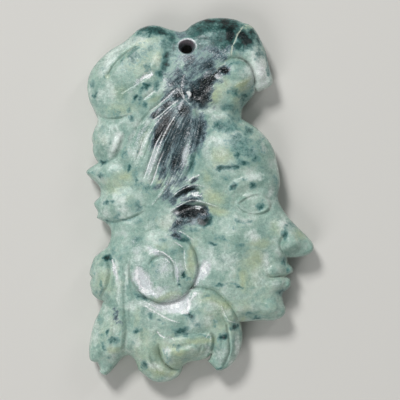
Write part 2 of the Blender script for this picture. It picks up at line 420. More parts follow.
        cut([(2.2, -28.4), (3.0, -29.9), (3.0, -31.6), (2.5, -33.3), (1.8, -35.2)], 1.3, 0.6, 0.8,
            fade=(2, 0.1)),
        cut([(4.4, -28.2), (4.9, -30.6), (4.4, -33.8), (3.8, -36.0)], 0.25, 0.6, 0.6, soft=True),
        swell(-2.6, -32.3, 6.2, 4.0, 0.9, turn=14),
        cut([(-6.9, -30.3), (-5.4, -29.8), (-3.8, -29.4), (-1.4, -29.2), (0.9, -28.9), (2.6, -28.4)], 0.5, 1.6,
            0.7, fade=(3, 3)),
        cut([(0.5, -31.2), (0.1, -32.8), (-0.6, -34.4), (-1.2, -35.3)], 0.7, 0.35, 0.6, fade=(1.2, 0.5)),
        cut([(2.0, -30.6), (1.7, -32.4), (1.1, -34.2)], 0.35, 0.35, 0.45, fade=(0.6, 0.5)),
        cut([(-7.6, -31.0), (-5.6, -31.9), (-3.4, -31.7), (-1.2, -31.0)], 0.4, 0.8, 0.9, fade=(2, 2),
            soft=True),
        cut([(-8.9, -31.0), (-8.7, -33.0), (-8.0, -35.0), (-6.6, -36.4), (-5.2, -37.0), (-3.9, -36.9)], 1.2,
            0.5, 1.8, fade=(2.5, 0.1)),
        swell(-6.8, -34.0, 1.5, 1.8, 0.4),
        cut([(-10.8, -33.4), (-10.2, -35.4), (-8.9, -37.6), (-7.2, -39.4)], 0.8, 0.5, 0.8, fade=(2.5, 0.3)),
        cut([(-12.0, -34.6), (-11.4, -36.6), (-10.2, -38.8)], 0.25, 0.5, 0.6, fade=(1.5, 0.8), soft=True),
        swell(-12.2, -34.0, 3.4, 5.2, 0.5),
        cut([(-12.4, -27.4), (-12.2, -31.2), (-12.6, -35.4)], 0.2, 1.0, 1.0, soft=True),
    ],
}


def closedOutline(step):
    edge = np.vstack([respaced(smoothRun(run), step)[:-1] for run in outlineRuns])
    low, high = edge.min(0), edge.max(0)
    size = np.array([cadHigh.x - cadLow.x, cadHigh.y - cadLow.y]) / mm
    middle = np.array([cadHigh.x + cadLow.x, cadHigh.y + cadLow.y]) / mm / 2
    return (edge - (low + high) / 2) * size / (high - low) + middle


def toPath(points, path, closed=False):
    # for each point: its distance to the path, the signed side it lies on, and how far along it is
    ends = np.vstack([path, path[:1]]) if closed else np.asarray(path)
    start, run = ends[:-1], np.diff(ends, axis=0)
    length = np.maximum(np.linalg.norm(run, axis=1), 1e-9)
    along = np.concatenate([[0], np.cumsum(length)])
    found = [np.zeros(len(points)) for _ in range(3)]
    for first in range(0, len(points), batch):
        part = slice(first, first + batch)
        offset = points[part, None, :] - start[None]
        share = np.clip((offset * run).sum(2) / length**2, 0, 1)
        squared = ((offset - share[:, :, None] * run) ** 2).sum(2)
        nearest = squared.argmin(1)
        row = np.arange(len(nearest))
        found[0][part] = np.sqrt(squared[row, nearest])
        found[1][part] = run[nearest, 0] * offset[row, nearest, 1] - run[nearest, 1] * offset[row, nearest, 0]
        found[2][part] = along[nearest] + share[row, nearest] * length[nearest]
    return found


def edgeDepth(points, edge, softness):  # true distance near the edge, and a smooth one further in
    true = toPath(points, edge, closed=True)[0]
    spacing = np.linalg.norm(np.roll(edge, -1, 0) - edge, axis=1)
    soft = np.zeros(len(points))
    for first in range(0, len(points), batch):
        part = slice(first, first + batch)
        gaps = np.linalg.norm(points[part, None, :] - edge[None], axis=2)
        soft[part] = -np.log((np.exp(-softness * gaps) * spacing * softness / 2).sum(1)) / softness
    near = np.exp(-((true / stone["trueReach"]) ** 2))
    return near * true + (1 - near) * np.maximum(soft, stone["leastDepth"] * true)


def quarterRound(depth, reach):
    return np.sqrt(1 - (1 - np.clip(depth / reach, 0, 1)) ** 2)


def carve(points, edge):
    # height of the carved front over plan points, how deep each lies in cuts, and how chalky it is
    depth = edgeDepth(points, edge, stone["edgeSoftness"])
    inner = np.clip(depth / stone["calmEdge"], 0, 1)
    shoulder = quarterRound(depth, stone["frontRounding"])
    height = stone["edgeFront"] + (stone["field"] - stone["edgeFront"]) * shoulder
    dome = edgeDepth(points, edge[::4], stone["domeSoftness"])
    height += stone["crownRise"] * quarterRound(dome, stone["frontCrowning"]) ** 2
    sunk, chalk = np.zeros(len(points)), np.zeros(len(points))
    for mark in [mark for group in carving.values() for mark in group]:
        if "rise" in mark:
            offset = points - np.array(mark["centre"])
            c, s = math.cos(math.radians(mark["turn"])), math.sin(math.radians(mark["turn"]))
            u = (offset[:, 0] * c + offset[:, 1] * s) / mark["radii"][0]
            v = (offset[:, 1] * c - offset[:, 0] * s) / mark["radii"][1]
            height += mark["rise"] * np.clip(1 - u**2 - v**2, 0, 1) ** mark["fullness"] * inner
            continue
        path = smoothRun(mark["path"]) if len(mark["path"]) < 12 else np.asarray(mark["path"])
        reach = max(mark["left"], mark["right"])
        close = ((points > path.min(0) - reach) & (points < path.max(0) + reach)).all(1).nonzero()[0]
        distance, side, along = toPath(points[close], path)
        length = np.linalg.norm(np.diff(path, axis=0), axis=1).sum()
        ends = np.clip(along / mark["fade"][0], 0, 1) * np.clip((length - along) / mark["fade"][1], 0, 1)
        ends = ends * (2 - ends)
        width = np.where(side > 0, mark["left"], mark["right"])
        width = width * (stone["endWidth"] + (1 - stone["endWidth"]) * ends)
        u = np.clip(np.sqrt(distance**2 + stone["cutBottom"] ** 2) / width, 0, 1)
        shape = ((1 - u**2) ** 2 if mark["soft"] else (1 - u) ** 2) * ends * inner[close]
        height[close] -= mark["depth"] * shape
        sunk[close] += max(mark["depth"], 0) * shape
        bottom = np.sqrt(ends) * np.clip(1.5 - distance / stone["chalkWidth"], 0, 1)
        chalk[close] = np.maximum(chalk[close], mark["chalk"] * bottom)
        sunk[close] = np.maximum(sunk[close], mark["grime"] * bottom)
    return np.maximum(height, stone["edgeFront"]), sunk, chalk


def inside(points, edge):
    ax, ay = edge.T
    bx, by = np.roll(edge, -1, 0).T
    rise = np.where(by == ay, 1e-12, by - ay)
    held = np.zeros(len(points), bool)
    for first in range(0, len(points), batch):
        x, y = points[first:first + batch, :1], points[first:first + batch, 1:]
        crosses = ((ay > y) != (by > y)) & (x < ax + (y - ay) / rise * (bx - ax))
        held[first:first + batch] = crosses.sum(1) % 2 == 1
    return held


def insetRow(edge, inset):              # points at this inset from the outline, clear of its tight corners
    tangent = np.roll(edge, -1, 0) - np.roll(edge, 1, 0)
    tangent /= np.linalg.norm(tangent, axis=1)[:, None]
    row = edge + inset * np.stack([tangent[:, 1], -tangent[:, 0]], 1)
    row = row[inside(row, edge)]
    return row[toPath(row, edge, closed=True)[0] > 0.97 * inset]


def staggeredGrid(step, edge, inset):
    low, high = edge.min(0), edge.max(0)
    rows = []
    for i, y in enumerate(np.arange(low[1], high[1], step * math.sqrt(3) / 2)):
        x = np.arange(low[0], high[0], step) + (i % 2) * step / 2
        rows.append(np.stack([x, np.full_like(x, y)], 1))
    grid = np.vstack(rows)
    grid = grid[inside(grid, edge)]
    return grid[toPath(grid, edge, closed=True)[0] > inset]


def sheet(edge, rows, step, fineStep=0):
    # plan points of one face of the stone and its triangles: the outline, rows that follow it, and a grid
    points = [edge]
    for inset in rows:
        thin = 1 if fineStep else max(1, int(0.8 * inset / stone["edgeStep"]))      # the plain back needs fewer
        points.append(insetRow(edge, inset)[::thin])
    clear = rows[-1] + 0.55 * step      # the grid starts about half a step inside the last row
    grid = staggeredGrid(step, edge, clear)
    if fineStep:
        fan = np.vstack([smoothRun(hairGuides[0]), smoothRun(hairGuides[-1])[::-1]])
        fine = staggeredGrid(fineStep, edge, clear)
        grid = np.vstack([grid[~inside(grid, fan)], fine[inside(fine, fan)]])
    points = np.vstack([*points, grid])
    links = [(i, (i + 1) % len(edge)) for i in range(len(edge))]
    made = delaunay_2d_cdt([tuple(p) for p in points], links, [], 0, 1e-4, True)
    plan = np.array([tuple(p) for p in made[0]])
    triangles = np.array([list(f) for f in made[2]])
    place = {source: i for i, sources in enumerate(made[3]) for source in sources}
    rim = [place[i] for i in range(len(edge))]
    onRim = np.zeros(len(plan), bool)
    onRim[rim] = True
    doubtful = onRim[triangles].all(1)  # only a triangle between three edge points can lie outside
    keep = np.ones(len(triangles), bool)
    keep[doubtful] = inside(plan[triangles[doubtful]].mean(1), edge)
    return plan, triangles[keep], rim


def ripple(points, size, seed):         # smooth noise of a given size in millimetres, about -1 to 1
    return np.array([noise.noise(Vector((x / size, y / size, seed))) for x, y in points])


# The relief is worked out over the plan, because a height for every point gives the ground strokes and
# the worn forms between them, which loops cut into a block by operators can't hold.
def buildStone():
    edge = closedOutline(stone["edgeStep"])
    upper, upperFaces, upperRim = sheet(edge, stone["frontRows"], stone["frontStep"], stone["hairStep"])
    lower, lowerFaces, lowerRim = sheet(edge, stone["backRows"], stone["backStep"])
    height, sunk, chalk = carve(upper, edge)
    still = np.clip(height - stone["edgeFront"], 0, 1)      # no waves at the very edge
    for size, rise, seed in stone["waves"]:
        height += rise * still * ripple(upper, size, seed)
    height = np.clip(height, stone["edgeFront"], cadHigh.z / mm)
    height[upperRim] = stone["edgeFront"]
    backDepth = edgeDepth(lower, edge, stone["edgeSoftness"])
    backHeight = stone["edgeBack"] * (1 - quarterRound(backDepth, stone["backRounding"]))
    backHeight[lowerRim] = stone["edgeBack"]

    base = len(upper)
    rim = np.array([upperRim, np.roll(upperRim, -1), np.array(np.roll(lowerRim, -1)) + base,
                    np.array(lowerRim) + base]).T
    vertices = np.vstack([np.column_stack([upper, height]), np.column_stack([lower, backHeight])]) * mm
    faces = [*upperFaces.tolist(), *(lowerFaces[:, ::-1] + base).tolist(), *rim.tolist()]
    mesh = bpy.data.meshes.new("carvedJade")
    mesh.from_pydata(vertices.tolist(), [], faces)
    carved = bpy.data.objects.new("carvedJade", mesh)
    bpy.context.scene.collection.objects.link(carved)
    for name, values in (("sunk", sunk), ("chalk", chalk)):
        layer = mesh.attributes.new(name, "FLOAT", "POINT")
        layer.data.foreach_set("value", np.concatenate([values, np.zeros(len(lower))]).astype(np.float32))
    selectOnly(carved)
    bpy.ops.object.mode_set(mode="EDIT")
    bpy.ops.mesh.select_all(action="SELECT")
    bpy.ops.mesh.normals_make_consistent(inside=False)
    bpy.ops.object.mode_set(mode="OBJECT")
    return carved


def selectOnly(piece):
    bpy.ops.object.select_all(action="DESELECT")
    piece.select_set(True)
    bpy.context.view_layer.objects.active = piece


hole = {
    "centre": (-2.9, 33.3),
    "across": 1.18,           # how much wider than tall the drill left it
    # radius, height and lean towards the face, down the bore: the worn lip, a slanting funnel, the throat
    # and the funnel from the back
    "profile": [(2.9, 12.4, 0.0), (1.66, 9.5, 0.0), (1.5, 8.9, 0.0), (1.25, 7.9, 0.2), (1.0, 6.6, 0.42),
                (0.95, 5.0, 0.42), (1.0, 3.4, 0.3), (1.2, 2.2, 0.1), (1.5, 0.5, 0.0), (1.8, -0.9, 0.0)],
    "sides": 64,
    "rim": 1.72, "rimWidth": 0.24,              # where the worn lip shines, and how broad it is
    "wornSide": (0.5, 0.85), "wornMore": 0.4,   # the way a cord once pulled, and how much more is worn there
    "rimPaint": {"frost": 1.6, "chalk": 0.9},   # how strongly the worn lip shows in these two colours
    "boreEdge": 0.2, "boreShade": 0.35,         # how softly its dark inside begins, and how it fades downwards
}


def drillHole(carved):
    top = hole["profile"][0]
    bpy.ops.object.select_all(action="DESELECT")
    bpy.ops.mesh.primitive_circle_add(vertices=hole["sides"], radius=top[0] * mm, fill_type="NGON",
                                      location=(0, 0, top[1] * mm))
    cutter = bpy.context.object
    bpy.ops.object.transform_apply(location=True, rotation=False, scale=False)
    bpy.ops.object.mode_set(mode="EDIT")
    bpy.ops.mesh.select_all(action="SELECT")
    for (wide, high, out), (narrow, low, lean) in zip(hole["profile"], hole["profile"][1:]):
        bpy.ops.mesh.extrude_region_move(TRANSFORM_OT_translate={"value": (0, 0, (low - high) * mm)})
        bpy.ops.transform.resize(value=(narrow / wide, narrow / wide, 1), center_override=(0, -out * mm, 0))
        bpy.ops.transform.translate(value=(0, (out - lean) * mm, 0))
    bpy.ops.mesh.select_all(action="SELECT")
    bpy.ops.transform.resize(value=(hole["across"], 1, 1), center_override=(0, 0, 0))
    bpy.ops.transform.translate(value=(hole["centre"][0] * mm, hole["centre"][1] * mm, 0))
    bpy.ops.mesh.normals_make_consistent(inside=False)
    bpy.ops.object.mode_set(mode="OBJECT")
    selectOnly(carved)
    drilled = carved.modifiers.new("drilled", "BOOLEAN")
    drilled.operation = "DIFFERENCE"
    drilled.solver = "EXACT"
    drilled.object = cutter
    bpy.ops.object.modifier_apply(modifier=drilled.name)
    bpy.data.objects.remove(cutter, do_unlink=True)


# Where the stone's colours lie. Each patch: place, the two radii, turn in degrees and strength. They run
# through the thickness of the stone.
colourPatches = {
    "vein": [                            # blue-black and purple-grey, from behind the crack down to the ear
        (6.2, 33.0, 1.0, 0.9, 0, 0.9), (-4.4, 36.0, 1.4, 0.9, -20, 0.9), (-2.2, 29.6, 2.4, 3.2, 0, 1.05),
        (-2.0, 26.8, 1.8, 1.6, 0, 1.0), (-4.2, 30.4, 0.8, 2.6, -5, 0.9), (-5.0, 28.0, 0.9, 2.8, -12, 0.95),
        (1.6, 29.0, 2.0, 2.2, 0, 1.3), (3.6, 31.4, 2.4, 1.4, -20, 1.0), (0.2, 31.4, 1.8, 1.4, 0, 0.75),
        (1.5, 25.6, 2.8, 1.1, 40, 2.2), (3.3, 27.1, 1.3, 0.8, 40, 2.0), (5.1, 28.1, 1.0, 0.9, 0, 2.3),
        (-0.2, 22.7, 1.8, 1.8, 15, 2.3), (0.9, 23.8, 1.6, 1.2, 30, 2.2), (-1.6, 24.9, 0.9, 1.2, 0, 1.2),
        (-6.6, 25.2, 0.9, 1.6, -30, 0.85), (-4.8, 25.4, 2.2, 2.0, -30, 1.3), (-4.2, 22.8, 1.8, 1.5, 0, 1.7),
        (-6.8, 22.8, 1.9, 0.9, 45, 1.3), (-3.4, 19.4, 1.5, 1.4, 20, 1.8), (-7.3, 17.6, 1.9, 1.3, 40, 1.8),
        (-8.4, 14.8, 1.2, 2.8, -25, 2.6), (-5.9, 16.8, 1.6, 1.8, 0, 1.7), (-7.2, 20.5, 1.7, 0.6, 35, 1.6),
        (-9.8, 18.5, 1.4, 0.5, 38, 1.6), (-5.6, 14.0, 1.9, 4.6, -20, 1.4), (-3.2, 15.2, 1.4, 4.2, -12, 1.35),
        (-2.0, 17.0, 1.5, 1.6, 0, 1.2), (-0.5, 14.4, 1.3, 3.2, -6, 1.5), (-1.5, 11.6, 0.8, 1.6, -15, 1.1),
        (-7.0, 10.6, 1.0, 3.8, -16, 1.6), (-5.0, 9.4, 1.1, 3.8, -18, 1.5), (-6.5, 13.0, 0.8, 2.0, -18, 1.4),
        (-4.3, 6.6, 1.1, 2.0, -20, 1.0), (-6.6, 4.4, 1.4, 1.6, -30, 0.85), (-4.2, 4.0, 1.5, 1.3, 0, 0.95),
        (-7.9, 6.2, 0.7, 2.0, -25, 1.1), (-9.1, 3.4, 0.7, 1.4, -30, 0.9), (-5.9, -0.3, 1.0, 0.9, 0, 1.3),
        (-7.2, 1.2, 1.1, 1.6, -30, 1.2), (-2.9, 2.3, 1.6, 0.5, 20, 1.8), (-4.6, 0.9, 1.3, 0.6, 30, 1.4),
        (-2.2, 0.5, 1.8, 0.5, 10, 1.5), (-0.2, 1.3, 0.7, 0.6, 0, 1.1), (-1.4, 4.4, 0.9, 0.5, 30, 1.3),
        (-2.8, 3.4, 0.9, 0.5, 30, 0.9), (-2.6, -2.4, 1.7, 1.3, 0, 2.9), (-1.0, -1.7, 2.0, 0.5, -6, 2.2),
        (0.4, -2.4, 1.0, 1.1, 0, 1.9), (-4.3, -4.6, 1.5, 1.5, -20, 1.25), (-4.8, -5.9, 1.3, 0.7, 0, 1.1),
        (-2.2, -4.6, 1.3, 0.9, 0, 1.2), (-4.9, -7.5, 0.9, 0.6, 0, 1.4), (-18.0, -25.2, 0.5, 1.5, 10, 1.0),
        (-17.2, -26.6, 0.6, 0.5, 0, 0.8),
    ],
    "frost": [                           # pale lilac-grey, sugary with fine crystals
        (-3.2, 9.8, 0.7, 2.4, -18, 1.5), (-2.9, 13.8, 0.4, 1.4, -15, 0.9), (-2.0, 12.8, 0.4, 1.2, -18, 0.8),
        (-10.2, 8.4, 0.8, 3.0, -20, 1.3), (-9.2, 11.0, 0.5, 1.6, -25, 0.9), (-5.8, 20.9, 1.1, 0.4, 12, 1.5),
        (-3.9, 20.5, 1.6, 0.35, 40, 1.2), (-8.6, 19.3, 1.6, 0.4, 38, 1.0), (-3.9, 24.8, 0.5, 2.2, -8, 1.0),
        (-4.8, 23.6, 0.4, 1.3, -48, 1.1), (-6.6, 22.8, 1.5, 0.5, 45, 1.0), (-6.2, 24.6, 1.0, 0.8, 0, 0.7),
        (5.6, 32.2, 1.3, 0.7, -20, 0.9), (3.2, 31.6, 1.4, 0.6, -30, 0.75), (-2.6, 31.0, 1.0, 1.8, 0, 0.7),
        (1.6, 27.4, 1.2, 0.5, 40, 0.9), (3.9, 26.9, 0.6, 0.4, 0, 1.7), (4.0, 27.8, 0.4, 0.4, 0, 0.9),
        (-12.0, 26.4, 1.9, 0.5, 38, 1.4), (-7.9, 25.9, 0.4, 0.8, -20, 1.1), (-12.2, -17.6, 1.2, 2.2, 28, 1.9),
        (-13.0, -15.6, 0.6, 1.2, 0, 1.4), (-10.2, -19.7, 1.2, 0.4, -35, 1.6), (-8.6, -19.2, 1.8, 0.9, 0, 1.0),
        (-9.6, -10.9, 1.6, 0.6, -15, 1.4), (-7.0, -11.9, 1.0, 0.4, -30, 1.2), (-5.0, -15.6, 0.4, 2.0, 3, 1.5),
        (-4.0, -14.4, 0.5, 1.4, 0, 0.9), (-7.6, -14.3, 1.7, 1.9, 0, 1.0), (-8.0, -23.0, 3.2, 0.7, -12, 1.5),
        (-4.8, -22.9, 2.0, 1.3, 10, 1.9), (-3.0, -21.4, 0.8, 1.4, -20, 1.6), (-10.0, -22.8, 1.8, 0.4, -22, 1.2),
        (0.6, -15.2, 0.7, 1.9, -22, 1.9), (-0.7, -17.6, 0.5, 1.2, -35, 1.6), (-5.1, -2.4, 0.6, 0.5, 0, 1.7),
        (0.6, -3.0, 0.6, 0.5, 0, 0.9), (-4.6, -3.8, 0.8, 0.5, 0, 0.9), (-18.7, -14.8, 0.4, 1.6, 14, 1.5),
        (-6.4, -29.9, 0.5, 0.5, 0, 1.0), (-14.9, 23.6, 1.4, 0.3, 30, 0.8), (-13.0, 14.0, 0.5, 3.2, -22, 1.0),
        (-13.6, -10.8, 1.2, 1.4, -30, 0.8), (-14.6, -9.2, 1.0, 1.0, 0, 0.7),
    ],
    "teal": [                            # clouds and flecks of blue-green
        (-9.6, 36.9, 3.8, 1.3, -4, 2.0), (-13.0, 36.6, 1.6, 0.9, 30, 1.5), (-10.2, 36.4, 0.8, 1.2, 0, 1.5),
        (-7.4, 36.6, 1.6, 1.2, -20, 1.5), (-13.6, 35.6, 1.4, 0.9, 40, 1.0), (-6.6, 34.4, 1.8, 1.8, 0, 1.7),
        (-6.9, 31.9, 0.9, 1.7, -25, 1.9), (-5.8, 33.4, 1.6, 1.8, 0, 1.5), (-7.2, 29.6, 1.0, 1.8, -20, 2.0),
        (-8.7, 26.9, 0.8, 1.2, -15, 1.7), (-9.6, 24.9, 0.7, 1.3, 0, 1.4), (-11.9, 24.2, 0.6, 1.2, -35, 1.9),
        (-14.0, 22.4, 0.6, 0.8, -20, 2.1), (-12.8, 21.8, 0.6, 1.0, 0, 1.3), (-11.6, 20.6, 0.5, 0.8, 30, 1.4),
        (-14.4, 31.0, 3.0, 1.7, 35, 1.35), (-11.0, 32.9, 1.8, 0.8, 10, 1.1), (-16.2, 28.6, 2.2, 1.8, 30, 1.0),
        (-15.4, 20.0, 0.5, 0.6, 0, 1.5), (-23.5, 25.4, 0.6, 0.9, 0, 1.4), (-22.9, 23.0, 0.5, 1.1, 0, 1.7),
        (-21.4, 28.6, 0.9, 0.7, 40, 0.9), (-23.0, 27.8, 0.7, 1.4, -30, 0.8), (-19.6, 33.0, 1.2, 0.5, 45, 1.0),
        (-16.4, 34.6, 1.2, 0.4, 35, 1.0), (-13.4, 32.2, 0.8, 0.9, 0, 1.1), (-11.6, 28.9, 1.2, 1.4, 0, 1.0),
        (-15.4, 27.6, 0.7, 1.4, 0, 0.7), (-17.4, 25.2, 0.5, 1.6, 0, 0.8), (-20.6, 26.6, 0.3, 1.0, 0, 1.0),
        (-18.4, 19.0, 1.4, 0.9, 0, 1.0), (-20.4, 20.4, 1.2, 0.6, 0, 0.8), (1.0, 36.8, 5.6, 3.2, 8, 1.85),
        (1.8, 35.0, 2.2, 1.3, 0, 1.9), (6.0, 38.2, 3.4, 1.8, -15, 2.5), (4.4, 34.6, 2.6, 2.6, 0, 2.1),
        (6.9, 36.2, 1.3, 2.8, -10, 2.9), (9.6, 34.9, 1.5, 2.2, -12, 2.5), (2.0, 39.2, 4.0, 0.9, 0, 2.3),
        (9.5, 11.6, 3.8, 2.6, -30, 1.3), (5.6, 15.8, 3.2, 1.5, 0, 1.35), (-5.6, 33.0, 2.0, 2.6, 0, 1.5),
        (-2.0, 36.0, 1.8, 1.8, 10, 1.7), (1.4, 37.4, 1.2, 1.6, 0, 1.5), (3.4, 36.2, 0.8, 1.4, 0, 1.2),
        (-0.4, 33.0, 2.2, 1.6, 0, 1.6), (5.6, 35.2, 1.0, 1.4, 0, 1.3), (1.6, 33.6, 1.4, 1.2, 0, 1.2),
        (10.2, 34.6, 1.2, 1.8, 15, 2.8), (11.4, 36.0, 1.0, 1.3, 10, 2.0), (8.8, 33.8, 1.5, 1.2, 0, 2.2),
        (12.6, 35.2, 0.7, 2.0, 20, 1.6), (13.6, 31.6, 1.2, 1.3, 10, 1.3), (14.8, 30.0, 0.6, 2.4, 12, 1.5),
        (7.4, 29.6, 2.4, 0.7, -8, 1.3), (6.0, 28.0, 0.8, 1.2, 0, 1.1), (8.4, 28.4, 1.9, 1.2, 0, 0.55),
        (12.4, 31.6, 1.0, 1.4, 15, 1.3), (11.0, 24.2, 0.8, 1.6, -10, 1.1), (9.7, 22.2, 1.1, 2.0, -20, 1.6),
        (7.4, 23.2, 1.6, 1.2, 0, 1.2), (6.2, 20.4, 1.4, 0.9, 0, 1.2), (8.0, 19.0, 1.2, 0.9, 0, 1.0),
        (7.8, 17.6, 2.4, 0.8, -25, 1.1), (5.2, 16.6, 1.8, 1.0, 0, 1.1), (10.4, 14.8, 1.0, 1.5, -35, 1.5),
        (12.6, 12.6, 0.8, 1.3, -40, 1.1), (9.2, 11.6, 0.8, 1.2, -10, 1.6), (8.0, 9.6, 0.8, 1.0, -20, 1.5),
        (9.6, 7.9, 1.4, 0.6, -10, 1.8), (6.9, 6.9, 1.7, 0.5, 10, 1.8), (4.4, 6.6, 1.1, 0.5, 5, 1.6),
        (12.2, 9.2, 1.2, 0.8, 0, 1.2), (13.4, 7.2, 1.4, 0.5, 10, 1.2), (0.8, 16.8, 0.8, 2.0, 0, 1.3),
        (1.8, 14.4, 1.0, 1.0, 0, 1.1), (3.6, 14.8, 1.2, 0.6, 20, 0.9), (7.2, 2.6, 0.8, 0.5, 50, 2.0),
        (11.3, 2.8, 0.7, 0.8, 0, 1.5), (5.8, 4.4, 1.2, 0.7, 20, 1.2), (9.2, 4.4, 0.8, 0.6, 0, 1.2),
        (13.4, -1.0, 0.7, 1.0, -30, 1.4), (8.4, -4.4, 1.0, 0.6, -20, 1.6), (10.9, -4.8, 1.2, 0.5, -10, 1.1),
        (17.8, 1.4, 0.9, 1.3, -30, 1.5), (16.6, 4.4, 0.7, 1.3, 0, 1.2), (21.5, -2.4, 1.2, 0.4, 0, 1.8),
        (20.2, -5.4, 1.2, 1.0, 0, 1.1), (22.4, -5.6, 0.5, 1.5, 0, 1.2), (18.4, -7.4, 0.5, 1.1, 0, 1.8),
        (2.8, -9.5, 1.2, 0.4, -15, 1.6), (4.6, -8.4, 1.8, 0.8, 0, 1.1), (8.2, -9.6, 1.4, 0.7, 0, 1.1),
        (9.0, -5.9, 1.4, 0.5, 0, 1.0), (0.4, -4.2, 1.7, 1.3, 0, 2.9), (1.4, -3.2, 0.6, 1.4, 0, 1.6),
        (-4.0, -8.4, 1.5, 0.8, -30, 1.9), (-8.0, -8.3, 1.8, 0.6, 5, 1.1), (-5.6, -11.2, 0.8, 0.8, 0, 1.2),
        (-4.4, -11.4, 0.8, 0.9, 0, 1.1), (-10.6, -13.6, 0.6, 1.2, 0, 1.2), (-9.4, -15.2, 1.0, 1.2, 0, 0.9),
        (-3.5, -16.2, 0.6, 0.5, -30, 2.0), (-2.7, -17.2, 0.7, 0.4, -15, 1.1), (-4.6, -18.6, 0.3, 0.35, 0, 1.6),
        (-4.6, -17.2, 0.7, 0.8, 0, 1.0), (-12.8, -20.6, 1.2, 0.6, -30, 1.8), (-11.6, -21.2, 1.2, 0.5, -15, 1.3),
        (-13.9, -8.6, 1.2, 1.0, 0, 1.3), (-19.9, -12.4, 0.8, 0.7, 0, 1.9), (-18.9, -10.8, 0.7, 0.9, 0, 1.2),
        (-23.4, -15.2, 0.6, 1.3, 0, 1.0), (-21.6, -19.6, 0.4, 1.8, 0, 1.2), (-23.0, -20.4, 0.8, 0.7, 0, 1.0),
        (-20.0, -28.6, 0.4, 0.9, -15, 1.7), (-20.5, -31.5, 0.5, 0.9, 20, 1.6), (-18.5, -30.2, 1.2, 0.6, 0, 1.5),
        (-13.9, -28.2, 0.7, 0.6, 0, 1.6), (-19.9, -34.0, 0.8, 0.5, 0, 1.3), (-21.6, -29.2, 0.8, 0.4, 20, 1.1),
        (-22.6, -36.4, 0.8, 0.6, 0, 1.0), (-21.8, -25.6, 0.5, 1.3, 15, 1.1), (-15.2, -31.0, 0.6, 0.6, 0, 1.1),
        (-12.0, -36.0, 0.9, 1.0, 0, 1.2), (-10.4, -25.2, 0.8, 0.5, -40, 1.5), (-8.6, -26.4, 1.0, 0.4, -25, 1.2),
        (-2.2, -24.9, 0.9, 1.0, 20, 1.9), (-3.9, -28.3, 1.4, 0.8, 0, 1.8), (-3.0, -29.0, 1.0, 0.4, 0, 1.7),
        (-0.4, -26.8, 0.9, 0.8, 0, 1.2), (-6.0, -28.0, 1.2, 0.5, -15, 1.1), (0.6, -29.2, 1.6, 0.4, 0, 1.2),
        (-6.6, -34.4, 1.0, 1.1, 0, 1.1), (-4.6, -32.0, 0.9, 0.7, 0, 1.1), (5.2, -29.4, 0.9, 0.7, 35, 2.0),
        (7.5, -27.4, 0.7, 0.8, 0, 2.1), (4.4, -31.6, 0.8, 1.6, 0, 0.8), (4.6, -36.4, 1.0, 0.6, 0, 1.2),
        (4.4, -18.4, 0.7, 0.4, 0, 1.7), (6.9, -17.9, 1.4, 0.35, 0, 1.4), (8.8, -18.6, 1.0, 0.4, 0, 1.2),
        (18.1, -13.6, 0.6, 0.9, 0, 1.5), (19.3, -15.2, 0.5, 0.7, 0, 1.4), (17.8, -20.1, 0.9, 0.7, 0, 1.8),
        (12.6, -25.8, 1.4, 0.4, 10, 1.6), (10.7, -24.8, 1.1, 0.5, 0, 1.4), (3.2, -26.4, 0.9, 1.0, 0, 1.0),
        (1.4, -20.8, 1.0, 0.5, 0, 1.1), (-19.4, -4.8, 1.8, 0.4, 0, 1.4), (-18.0, -3.5, 0.8, 0.8, 0, 1.4),
        (-15.6, -4.3, 1.8, 0.4, 12, 1.2), (-20.2, -0.7, 0.5, 0.7, 0, 1.5), (-18.9, -0.4, 0.9, 0.4, 0, 1.3),
        (-14.6, -1.8, 0.8, 0.9, 0, 1.0), (-13.2, -1.5, 0.8, 1.0, 0, 1.3), (-12.6, 2.8, 1.0, 0.9, 0, 1.0),
        (-10.9, 2.6, 0.9, 1.4, -20, 1.5), (-21.0, 5.3, 1.1, 0.7, 0, 1.4), (-23.6, 5.8, 1.0, 0.8, 0, 0.9),
        (-21.2, 8.3, 0.9, 0.4, 0, 1.5), (-15.7, 7.0, 0.5, 0.8, 0, 1.7), (-13.9, 4.0, 0.4, 0.9, 0, 1.4),
        (-16.4, 10.4, 0.6, 1.6, -10, 1.2), (-15.0, 18.0, 0.7, 0.6, -30, 1.5), (-14.0, 5.8, 0.7, 1.4, -20, 1.1),
        (-15.4, 12.6, 0.4, 1.6, -15, 1.0), (-11.2, 12.4, 0.35, 2.2, -22, 1.0),
        (-13.1, 11.6, 0.3, 2.6, -22, 1.0), (-10.4, -3.6, 1.4, 1.1, 30, 0.95), (-13.4, -4.6, 1.5, 0.7, 10, 0.95),
        (-8.2, 8.4, 0.5, 2.4, -18, 1.5), (-1.9, 8.4, 0.7, 2.4, -16, 1.6), (-0.2, 10.2, 0.7, 2.0, -10, 1.4),
        (-7.8, 12.6, 0.5, 1.4, -20, 1.0), (-1.6, -6.4, 1.6, 0.6, 0, 1.2), (0.4, 13.0, 0.6, 2.0, 0, 1.2),
        (-22.0, 15.4, 0.8, 1.2, 0, 0.7), (-17.2, -12.0, 0.9, 1.2, 0, 0.8),
    ],
    "warm": [                            # yellow-green and straw
        (-8.0, -34.0, 8.0, 5.0, 0, 0.9), (5.0, -25.0, 5.0, 5.0, 0, 0.75), (12.0, -18.0, 6.0, 8.0, 0, 0.6),
        (-19.0, -28.0, 4.0, 8.0, 0, 0.55), (-21.0, -17.0, 3.0, 5.0, 0, 0.7), (-8.0, -24.0, 6.0, 5.0, 0, 0.4),
        (-13.8, 31.0, 3.8, 2.6, 35, 1.1), (-12.6, 28.0, 2.6, 1.8, 30, 0.75), (-12.2, 34.4, 2.2, 0.8, 15, 1.3),
        (-17.0, 23.6, 2.0, 1.6, 0, 1.0), (-17.2, 20.0, 3.0, 1.2, 10, 1.0), (-9.4, 31.0, 0.7, 1.1, -15, 1.5),
